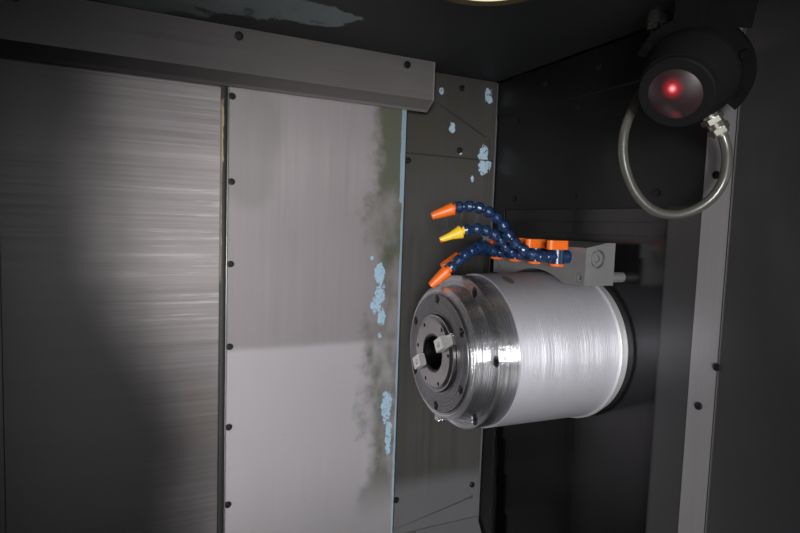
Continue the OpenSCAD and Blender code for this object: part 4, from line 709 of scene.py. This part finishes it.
dress(brushed("machinedBlock", coolantLook["block"], "y", 700, 0.10, 0.35, 0.45, 0.10, 0.1),
      "coolant_block")
soften(0.0006, "coolant_block")
dress(plain("hoseBlue", coolantLook["hose"], 0.30, 0, 0.25, 0.05, 200, Coat_Weight=0.12), "hose_segments")
dress(plain("nozzleOrange", coolantLook["orange"], 0.38, 0, 0.12, 0.05, 200),
      "valve_handle_1", "valve_handle_2", "valve_handle_3", "valve_handle_4")
dress(nozzleFinish(), "nozzles")
print("coolant parts dressed")

# probe receiver under the ceiling: its window's middle and the two ways across it, and the spots that glow
receiverLook = {"origin": (-0.021, -0.267, 1.917), "right": (0.4607, -0.8603, -0.2185),
                "up": (-0.4444, -0.4367, 0.7822), "lamp": (-0.0015, 0.009), "echo": (0.004, -0.020)}


def windowFinish():
    f = plain("receiverWindow", (0.030, 0.016, 0.018), 0.36, 0, 0.2, 0.0, 100)
    u = f.along(receiverLook["origin"], receiverLook["right"])
    v = f.along(receiverLook["origin"], receiverLook["up"])
    lamp, echo = receiverLook["lamp"], receiverLook["echo"]
    far = distance(u - lamp[0], v - lamp[1])
    halo = 1 - f.step(far, 0.003, 0.0150)
    low = 1 - f.step(distance(u - echo[0], v - echo[1]), 0.001, 0.007)
    glow = f.mix(halo * halo * 0.5 + low * 0.12, (0, 0, 0), (0.55, 0.010, 0.014))
    glow = f.mix(1 - f.step(far, 0.0015, 0.0058), glow, (1.0, 0.10, 0.12))
    glow = f.mix(1 - f.step(far, 0.0004, 0.0030), glow, (1.0, 0.62, 0.66))
    f.put("Emission Color", glow)
    f.put("Emission Strength", 1.15)
    return f


dress(plain("receiverBlack", (0.008, 0.008, 0.008), 0.65, 0, 0.35, 0.3, 400, Specular_IOR_Level=0.10),
      "receiver_housing")
dress(windowFinish(), "receiver_window")
dress(brushed("yokeSteel", (0.009, 0.008, 0.008), "z", 300, 0.12, 0.6, 0.50, 0.25), "receiver_yoke")
dress(plain("nickelPlate", (0.36, 0.345, 0.31), 0.27, 0.9, 0.15, 0.08, 200), "receiver_gland")
print("receiver dressed")

# small parts on the walls that the photograph shows
leafEdge = {"x": -0.3905, "low": 1.1315, "high": 2.028,
            "screws": (1.2395, 1.358, 1.475, 1.594, 1.7135, 1.830, 1.948)}
awayFromWall, towardsRoom = (0, -1, 0), (-1, 0, 0)    # the ways that screw heads look


def fitScrews(name, body, radius, height, facing, places):
    screws = copied(buttonScrew(radius, height), name, [(place, facing) for place in places])
    own(screws, body, screwBlack)


def wiperFinish():
    f = plain("wiperRubber", (0.012, 0.012, 0.012), 0.55, 0, 0.3, 0.2, 200)
    f.grain = f.noise(90, 5)
    torn = f.band(f.z + (f.grain - 0.5) * 0.03, 1.855, 1.935, 0.010)
    thin = f.band(f.z, 1.70, 1.86, 0.02)
    inner = 1 - f.step(f.x + (f.grain - 0.5) * 0.004, -0.3962, -0.3955)
    outer = 1 - f.step(f.x + (f.grain - 0.5) * 0.002, -0.3976, -0.3973)
    f.put("Base Color", f.mix(torn * inner * 0.9 | thin * outer * 0.8, f.tone, (0.30, 0.25, 0.15)))
    return f


def fitLeafEdge():
    x, low, high = (leafEdge[k] for k in ("x", "low", "high"))
    wiper = box("leafWiper", (x - 0.0078, 0.1512, low), (x - 0.0003, 0.1662, high), 0.0012)
    own(wiper, "front_leaf", wiperFinish())
    # the fold's steel is a paler tone than the leaf: a painted highlight along the edge that catches the
    # light
    fold = box("leafEdgeFold", (x - 0.0003, 0.1538, low), (x + 0.0021, 0.1561, high), 0.0008)
    own(fold, "front_leaf", brushed("edgeSteelHighlight", (0.40, 0.385, 0.38), "z", 400, 0.15, 0.7, 0.30, 0.3))
    places = [(-0.3845, 0.156, z) for z in leafEdge["screws"]]
    fitScrews("leafScrews", "front_leaf", 0.0046, 0.0030, awayFromWall, places)
    rearWiper = box("rearLeafWiper", (-0.6650, 0.1675, low), (-0.6572, 0.1770, high), 0.0012)
    own(rearWiper, "rear_leaf", plain("rearWiperRubber", (0.012, 0.012, 0.012), 0.55, 0, 0.3, 0.2, 200))


def fitWallScrews():
    liner = ((0.0, 2.014), (0.001, 1.909), (-0.098, 1.884), (0.058, 1.300), (-0.098, 1.300))
    fitScrews("linerScrews", "base", 0.0050, 0.0032, awayFromWall, [(x, 0.178, z) for x, z in liner])
    guide = (-1.137, -0.885, -0.633, -0.381, -0.129)
    fitScrews("guideScrews", "base", 0.0055, 0.0035, awayFromWall, [(x, 0.129, 2.0225) for x in guide])
    posts = [(0.0765, y, z) for y in (-0.249, 0.193) for z in (0.90, 1.12, 1.34, 1.582, 1.845)]
    posts += [(0.0765, y, 2.006) for y in (-0.175, -0.062, 0.051)]
    posts += [(0.0765, -0.267, z) for z in (1.05, 1.34, 1.632, 1.93)]
    fitScrews("postScrews", "column", 0.0045, 0.0018, towardsRoom, posts)
    panel = [(0.0765, y, z) for y in (-0.170, -0.026, 0.118) for z in (1.9585, 1.828)]
    fitScrews("upperPanelScrews", "column", 0.0045, 0.0018, towardsRoom, panel)


fitLeafEdge()
fitWallScrews()
print("wall fittings placed")

# the rest of the machine
houseSeams = {"column": (("z", 2.09), ("x", 0.53)), "magazine": (("x", -0.30), ("z", 1.22), ("x", 0.62))}
workLamp = {"centre": (-0.183, -0.173), "glass": 0.0590, "glow": (1.0, 0.82, 0.60), "strength": 0.9}
castGrey = plain("castPaint", (0.20, 0.235, 0.25), 0.45, 0, 0.10, 0.25, 60)
darkPaint = plain("darkPaint", (0.045, 0.048, 0.052), 0.45, 0, 0.12, 0.2, 300)
groundSteel = brushed("groundSteel", (0.30, 0.30, 0.31), "x", 500, 0.10, 0.9, 0.36, 0.12)
rubber = plain("blackRubber", (0.018, 0.018, 0.018), 0.6, 0, 0.2, 0.2, 200)
paintTone, accentTone = (0.58, 0.60, 0.61), (0.075, 0.135, 0.185)


def machinePaint(name, tone, seams=()):
    # textured paint, dirtier towards the floor, with seams between its sheets
    f = plain(name, tone, 0.42, 0, 0.05, 0.3, 700)
    patchy = f.step(f.noise(9, 6, (1, 1, 0.5), (0, 0, 0), 0.65), 0.35, 0.7)
    dirt = (1 - f.step(f.z + f.wide * 0.25, 0.15, 0.75)) * patchy
    f.tone = f.mix(dirt * 0.4, f.tone, tuple(c * 0.55 for c in tone))
    for axis, at in seams:
        line = 1 - f.step(abs(getattr(f, axis) - at), 0.0012, 0.0020)
        f.tone = f.mix(line * 0.85, f.tone, (0.02, 0.02, 0.02))
    f.put("Base Color", f.tone)
    return f


def enclosureFinish():
    # painted outside, dull dark sheet on the working side
    f = machinePaint("enclosurePaint", paintTone)
    inside = f.step(f.y, -0.7600, -0.7570) * f.step(f.x, -1.2240, -1.2205)
    f.put("Base Color", f.mix(inside, f.tone, (0.070, 0.068, 0.070)))
    f.put("Metallic", inside * 0.35)
    return f


lightPaint = machinePaint("texturedPaint", paintTone)
accentPaint = machinePaint("accentPaint", accentTone)
dress(castGrey, "bed", "column", "spindle_head", "table_saddle", "magazine_stand", "atc_drive_box")
dress(enclosureFinish(), "enclosure_front")
dress(lightPaint, "electrical_cabinet", "cabinet_door")
dress(machinePaint("columnHousePaint", paintTone, houseSeams["column"]), "column_housing")
dress(machinePaint("magazineHousePaint", paintTone, houseSeams["magazine"]), "magazine_housing")
dress(accentPaint, "door", "operator_panel", "chip_conveyor")
dress(darkPaint, "magazine_wheel", "change_pot")
dress(groundSteel, "base_ways", "head_ways", "levelling_feet", "pallet", "change_arm")
dress(plain("stopRed", (0.60, 0.02, 0.02), 0.3), "stop_button")
glass = Finish("safetyGlass", (0.75, 0.85, 0.88), 0.05, 0, Transmission_Weight=0.9, IOR=1.45)
glass.put("Roughness", glass.noise(12, 4) * 0.05 + 0.03)
dress(glass, "door_window")


def lampFinish():
    f = plain("lampCover", (0.12, 0.09, 0.04), 0.4)
    centre, glass = workLamp["centre"], workLamp["glass"]
    far = distance(f.x - centre[0], f.y - centre[1])
    f.put("Emission Color", f.mix(f.step(far, glass, glass - 0.0015), (0, 0, 0), workLamp["glow"]))
    f.put("Emission Strength", workLamp["strength"])
    return f


dress(lampFinish(), "work_light")
soften(0.004, "enclosure_front", "column_housing", "electrical_cabinet", "magazine_housing",
       "operator_panel")
soften(0.003, "door", "chip_conveyor", "pallet", "table_saddle", "atc_drive_box", "magazine_stand")
print("machine dressed")

# bellows beside the column cover: start and end on y, and folds
bellowsPlan = {"low": 0.780, "high": 2.032, "front": 0.0812, "back": 0.1010, "cloth": 0.0011,
               "near": (-0.905, -0.269, 16), "far": (0.213, 0.345, 16)}


def bellowsFinish():
    f = plain("bellowsCloth", (0.022, 0.022, 0.024), 0.62, 0, 0.2, 0.25, 900)
    f.bump(f.noise(1400, 2, (1, 1, 0.25)), 0.25, 0.0003)
    return f


def pleatBellows(name, side, skin):
    # a grid whose rows stand forward and back in turn
    start, end, folds = bellowsPlan[side]
    middle = (bellowsPlan["front"] + bellowsPlan["back"]) / 2
    half = (bellowsPlan["back"] - bellowsPlan["front"]) / 2
    low, high = bellowsPlan["low"], bellowsPlan["high"]
    clear()
    bpy.ops.mesh.primitive_grid_add(x_subdivisions=6, y_subdivisions=2 * folds, size=1,
                                    location=(middle, (start + end) / 2, (low + high) / 2),
                                    rotation=(0, math.radians(90), 0))
    cloth = bpy.context.object
    cloth.scale = (high - low, end - start, 1)    # the grid operator takes no scale of its own
    settle(cloth, name)
    rows = sorted({round(v.co.y, 5) for v in cloth.data.vertices})
    for v in cloth.data.vertices:
        row = min(range(len(rows)), key=lambda i: abs(rows[i] - v.co.y))
        v.co.x = middle + (half if row % 2 else -half)
    rounded(cloth, 0.0012, 2)
    shape(cloth, "SOLIDIFY", thickness=bellowsPlan["cloth"], offset=0)
    cloth.data.materials.clear()
    cloth.data.materials.append(skin.material)
    bpy.ops.object.shade_smooth_by_angle(angle=math.radians(60))
    return cloth


def hangBellows():
    skin = bellowsFinish()
    near = pleatBellows("nearBellows", "near", skin)
    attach(near, "base")
    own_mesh(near)    # 0.52 is the column's travel
    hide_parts("near_bellows")
    far = pleatBellows("farBellows", "far", skin)
    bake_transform(far)
    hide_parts("far_bellows")


hangBellows()
print("bellows hung")

# operator panel: bezel, screen, keys and dials
panelPlan = {"left": 0.838, "right": 1.108, "face": -1.038, "screen": (1.470, 1.700), "keys": (1.250, 1.445),
             "columns": 9, "rows": 6, "dialRow": 1.200, "knobs": (0.945, 1.010), "start": 1.070,
             "grip": (1.128, 1.20, 1.70), "keySize": (0.0215, 0.0048)}
keyTones = {"keyGrey": (0.42, 0.43, 0.42), "keyDark": (0.06, 0.07, 0.08), "keyGreen": (0.02, 0.28, 0.07),
            "keyAmber": (0.75, 0.30, 0.02)}


def keyModel(size, height):
    clear()
    bpy.ops.mesh.primitive_cube_add(size=1, location=(0, 0, height / 2), scale=(size, size, height))
    key = settle(bpy.context.object, "keyModel")
    rounded(key, size * 0.12, 2)
    edit(key, lambda middle, normal: normal.z > 0.99)
    bpy.ops.mesh.inset(thickness=size * 0.10, depth=-height * 0.10)
    done()
    return key


def screenFinish():
    f = Finish("screenGlass", (0.010, 0.013, 0.018), 0.12, 0, Coat_Weight=0.3)
    rows = f.step(f.noise(3.0, 2, (1, 1, 14), (0.2, 0, 0.3)), 0.42, 0.46)
    field = f.band(f.x, 0.862, 1.084, 0.001) * f.band(f.z, 1.494, 1.676, 0.001)
    top = f.band(f.z, 1.655, 1.676, 0.0005) * field
    glow = f.mix(field, (0, 0, 0), (0.010, 0.030, 0.048))
    glow = f.mix(field * rows * 0.35, glow, (0.05, 0.13, 0.16))
    f.put("Emission Color", f.mix(top, glow, (0.03, 0.11, 0.17)))
    f.put("Emission Strength", 1.0)
    return f


def fitScreen():
    left, right, face = panelPlan["left"], panelPlan["right"], panelPlan["face"]
    low, high = panelPlan["screen"]
    bezel = box("screenBezel", (left - 0.008, face - 0.0075, low - 0.008),
                (right + 0.008, face + 0.001, high + 0.008), 0.002)
    recess(bezel, awayFromWall, 0.014, 0.0035)
    own(bezel, "operator_panel", darkPaint)
    pane = box("screenPane", (left + 0.008, face - 0.0048, low + 0.008),
               (right - 0.008, face - 0.0030, high - 0.008), 0.0006)
    own(pane, "operator_panel", screenFinish())


def fitKeys():
    left, right, face = panelPlan["left"], panelPlan["right"], panelPlan["face"]
    low, high = panelPlan["keys"]
    columns, rows = panelPlan["columns"], panelPlan["rows"]
    pitchX, pitchZ = (right - left) / columns, (high - low) / rows
    keyPlaces = {name: [] for name in keyTones}
    for i in range(columns):
        for j in range(rows):
            name = "keyGrey" if j > 2 or i < 5 else "keyDark"
            name = {(8, 0): "keyGreen", (7, 0): "keyAmber"}.get((i, j), name)
            at = (left + (i + 0.5) * pitchX, face - 0.0019, low + (j + 0.5) * pitchZ)
            keyPlaces[name].append((at, awayFromWall))
    for name, places in keyPlaces.items():
        keys = copied(keyModel(*panelPlan["keySize"]), name, places)
        own(keys, "operator_panel", plain(name, keyTones[name], 0.42, 0, 0.05, 0.05, 400))


def fitDials():
    face, z = panelPlan["face"], panelPlan["dialRow"]
    for i, x in enumerate(panelPlan["knobs"]):
        knob = rod("overrideKnob%d" % (i + 1), (x, face + 0.0005, z), (x, face - 0.0105, z),
                   0.0155, 20, 0.0012)
        recess(knob, awayFromWall, 0.004, 0.002)
        own(knob, "operator_panel", rubber)
        mark = box("overrideMark%d" % (i + 1), (x - 0.0008, face - 0.0092, z + 0.003),
                   (x + 0.0008, face - 0.0078, z + 0.011), 0.0002)
        own(mark, "operator_panel", plain("knobMark", (0.8, 0.8, 0.78), 0.5))
    x = panelPlan["start"]
    button = rod("startButton", (x, face + 0.0005, z), (x, face - 0.0090, z), 0.0125, 20, 0.001)
    recess(button, awayFromWall, 0.003, 0.0015)
    own(button, "operator_panel", plain("startGreen", (0.02, 0.30, 0.07), 0.3))


def fitGrip():
    face = panelPlan["face"]
    x, low, high = panelPlan["grip"]
    grip = rod("panelGrip", (x, face - 0.0085, low), (x, face - 0.0085, high), 0.0025, 12, 0.0004)
    own(grip, "operator_panel", groundSteel)
    feet = [box("panelGripFoot", (x - 0.003, face - 0.0112, z), (x + 0.003, face + 0.0005, z + 0.012), 0.0006)
            for z in (low, high - 0.012)]
    own(joined(feet, "panelGripFeet"), "operator_panel", darkPaint)


fitScreen()
fitKeys()
fitDials()
fitGrip()
print("panel fitted")

# operator door: gasket, pressed field, grip
doorPlan = {"face": -0.975, "window": ((0.005, 1.185), (0.565, 1.825)), "gasket": 0.018,
            "field": ((-0.055, 0.930), (0.690, 1.115)), "grip": (-0.120, 1.335, 1.605),
            "edge": ((-0.1735, -0.974, 0.885), (-0.1700, -0.940, 2.005)),
            "screws": ((-0.13, 0.70), (0.915, 1.14, 1.88, 1.975))}


def fitDoor():
    (x0, z0), (x1, z1) = doorPlan["window"]
    face, wide = doorPlan["face"], doorPlan["gasket"]
    bars = [((x0 - wide, z0 - wide), (x1 + wide, z0)), ((x0 - wide, z1), (x1 + wide, z1 + wide)),
            ((x0 - wide, z0 - 0.001), (x0, z1 + 0.001)), ((x1, z0 - 0.001), (x1 + wide, z1 + 0.001))]
    gasket = joined([box("gasketBar", (a, face - 0.005, b), (c, face + 0.001, d), 0.0015)
                     for (a, b), (c, d) in bars], "windowGasket")
    own(gasket, "operator_door", rubber)
    (a, b), (c, d) = doorPlan["field"]
    field = box("doorField", (a, face - 0.004, b), (c, face + 0.001, d), 0.0018)
    recess(field, awayFromWall, 0.012, 0.002)
    own(field, "operator_door", accentPaint)
    x, low, high = doorPlan["grip"]
    plates = [box("gripPlate", (x - 0.022, face - 0.004, z), (x + 0.022, face + 0.001, z + 0.05), 0.0015)
              for z in (low - 0.03, high - 0.02)]
    own(joined(plates, "gripPlates"), "operator_door", darkPaint)
    grip = rod("doorGrip", (x, face - 0.030, low), (x, face - 0.030, high), 0.0145, 28, 0.002)
    own(grip, "operator_door", rubber)
    edge = box("doorEdge", *doorPlan["edge"], 0.001)
    own(edge, "operator_door", rubber)
    columns, rows = doorPlan["screws"]
    places = [(x, face, z) for x in columns for z in rows]
    fitScrews("doorScrews", "operator_door", 0.006, 0.0035, awayFromWall, places)


fitDoor()
print("door fitted")

# access sheets, latches, louvres, main switch
outsidePlan = {
    "face": -0.935,
    "sheets": (((-1.245, 0.215), (-0.925, 0.845)), ((-0.905, 0.215), (-0.445, 0.845)),
               ((-0.425, 0.215), (0.045, 0.845)), ((0.110, 0.215), (0.520, 0.845)),
               ((0.545, 0.215), (0.955, 0.845))),
    "latch": 0.03,    # in from the corners of a sheet
    "switch": (1.155, 1.450),
}


def louvre(name, low, high, count, facing):
    # a field of slanted slats in a frame, on a side that looks along -Y or +Y
    sign, y, rim = facing[1], low[1], 0.02
    lowY, highY = sorted((y, y + sign * 0.0045))
    plate = box(name, (low[0], lowY, low[2]), (high[0], highY, high[2]), 0.0015)
    parts = [recess(plate, facing, 0.012, 0.003)]
    lowY, highY = sorted((y + sign * 0.0012, y + sign * 0.0042))
    pitch = (high[2] - low[2] - 2 * rim) / count
    for i in range(count):
        z = low[2] + rim + (i + 0.5) * pitch
        slat = box("slat", (low[0] + 0.018, lowY, z - pitch * 0.28),
                   (high[0] - 0.018, highY, z + pitch * 0.22), 0.0008)
        for v in slat.data.vertices:
            if v.co.z > z:
                v.co.y -= sign * 0.0026
        parts.append(slat)
    return own(joined(parts, name), "base", lightPaint)


def fitOutside():
    face, inward = outsidePlan["face"], outsidePlan["latch"]
    latches, sheets = [], []
    for (x0, z0), (x1, z1) in outsidePlan["sheets"]:
        sheets.append(box("accessSheet", (x0, face - 0.0035, z0), (x1, face + 0.001, z1), 0.0015))
        latches += [((x, face - 0.0035, z), awayFromWall)
                    for x in (x0 + inward, x1 - inward) for z in (z0 + inward, z1 - inward)]
    own(joined(sheets, "accessSheets"), "base", lightPaint)
    own(copied(buttonScrew(0.011, 0.0045), "sheetLatches", latches), "base", groundSteel)
    louvre("columnLouvre", (0.600, face, 2.155), (0.900, face, 2.420), 9, awayFromWall)
    louvre("cabinetLouvre", (1.035, -0.880, 1.650), (1.275, -0.880, 2.020), 12, awayFromWall)
    louvre("cabinetLouvreFar", (1.035, 0.340, 1.650), (1.275, 0.340, 2.020), 12, (0, 1, 0))
    x, z = outsidePlan["switch"]
    plate = rod("mainSwitchPlate", (x, -0.8795, z), (x, -0.8850, z), 0.045, 32, 0.0015)
    own(plate, "base", plain("switchYellow", (0.80, 0.52, 0.02), 0.4))
    hub = rod("mainSwitch", (x, -0.8848, z), (x, -0.9000, z), 0.026, 28, 0.002)
    wing = box("mainSwitchWing", (x - 0.007, -0.912, z - 0.032), (x + 0.007, -0.896, z + 0.032), 0.003)
    own(joined([hub, wing], "mainSwitch"), "base", plain("switchRed", (0.55, 0.02, 0.02), 0.35))


# windows: each pane's corners, and its gasket's four bars by two corners in the wall's plane
windowPlan = {
    "frontPane": ((-1.2755, -0.466, 1.252), (-1.2620, -0.110, 1.748)),
    "frontBars": (((-0.486, 1.232), (-0.090, 1.250)), ((-0.486, 1.750), (-0.090, 1.768)),
                  ((-0.486, 1.249), (-0.468, 1.751)), ((-0.108, 1.249), (-0.090, 1.751))),
    "magazinePane": ((-0.0190, 1.0280, 1.3505), (0.5000, 1.0340, 1.8695)),
    "magazineBars": (((-0.0193, 1.3503), (0.5003, 1.3653)), ((-0.0193, 1.8547), (0.5003, 1.8697)),
                     ((-0.0193, 1.3643), (-0.0043, 1.8557)), ((0.4853, 1.3643), (0.5003, 1.8557))),
}


def frameBars(name, bars, low, high, axis):
    # low and high are the bars' faces on the axis that the wall looks along
    parts = []
    for (a, b), (c, d) in bars:
        first = (low, a, b) if axis == "x" else (a, low, b)
        second = (high, c, d) if axis == "x" else (c, high, d)
        parts.append(box(name, first, second, 0.0015))
    return own(joined(parts, name), "base", rubber)


def fitWindows():
    pane = box("frontWallPane", *windowPlan["frontPane"], 0.001)
    darkGlass = Finish("tintedPane", (0.03, 0.045, 0.05), 0.08, 0, Coat_Weight=0.5)
    darkGlass.put("Roughness", darkGlass.noise(30, 3) * 0.08 + 0.04)
    own(pane, "base", darkGlass)
    frameBars("frontWallGasket", windowPlan["frontBars"], -1.2855, -1.2795, "x")
    pane = box("magazinePane", *windowPlan["magazinePane"], 0.001)
    clearPane = Finish("magazineGlass", (0.80, 0.87, 0.88), 0.04, 0, Transmission_Weight=0.92, IOR=1.45)
    clearPane.put("Roughness", clearPane.noise(12, 4) * 0.05 + 0.02)
    own(pane, "base", clearPane)
    frameBars("magazineGasket", windowPlan["magazineBars"], 1.0345, 1.0480, "y")


fitOutside()
fitWindows()
print("outside fitted")

# light: a hall window shines in through the doorway from the left, and leaves the far left corner in shade
lightPlan = {
    "hallWindow": {"place": (-3.1, -5.25, 1.9), "aim": (-0.3, 0.1, 1.6), "size": (1.2, 1.2), "power": 330},
    "doorway": {"place": (-0.42, -0.92, 1.66), "aim": (-0.45, 0.17, 1.70), "size": (0.25, 0.30),
                "power": 0.9},
    "rightHall": {"place": (4.2, -3.2, 4.0), "aim": (0.3, 0, 1.2), "size": (3.0, 3.0), "power": 420},
    "backHall": {"place": (1.0, 5.0, 3.6), "aim": (0, 0, 1.2), "size": (3.0, 3.0), "power": 330},
    "leftHall": {"place": (-5.0, 1.5, 3.6), "aim": (0, 0, 1.2), "size": (2.5, 2.5), "power": 180},
}
worldLook = {"colour": (0.9, 0.92, 0.95, 1), "strength": 0.15}


def hangLights():
    for name, plan in lightPlan.items():
        data = bpy.data.lights.new(name, "AREA")
        data.shape = "RECTANGLE"
        data.size, data.size_y = plan["size"]
        data.energy = plan["power"]
        light = bpy.data.objects.new(name, data)
        scene.collection.objects.link(light)
        way = Vector(plan["aim"]) - Vector(plan["place"])
        light.location = plan["place"]
        light.rotation_mode = "QUATERNION"
        light.rotation_quaternion = way.to_track_quat("-Z", "Y")
    world = bpy.data.worlds.new("paleWorld")
    scene.world = world
    world.use_nodes = True
    colour, strength = world.node_tree.nodes["Background"].inputs[:2]
    colour.default_value, strength.default_value = worldLook["colour"], worldLook["strength"]


def layFloor():
    clear()
    bpy.ops.mesh.primitive_plane_add(size=14, location=(0, 0, -0.001))
    floor = settle(bpy.context.object, "paleFloor")
    floor.data.materials.append(plain("floorPaint", (0.62, 0.62, 0.61), 0.6, 0, 0.04, 0.05, 30).material)


hangLights()
layFloor()
scene.view_settings.view_transform = "Standard"
print("lights and floor placed")
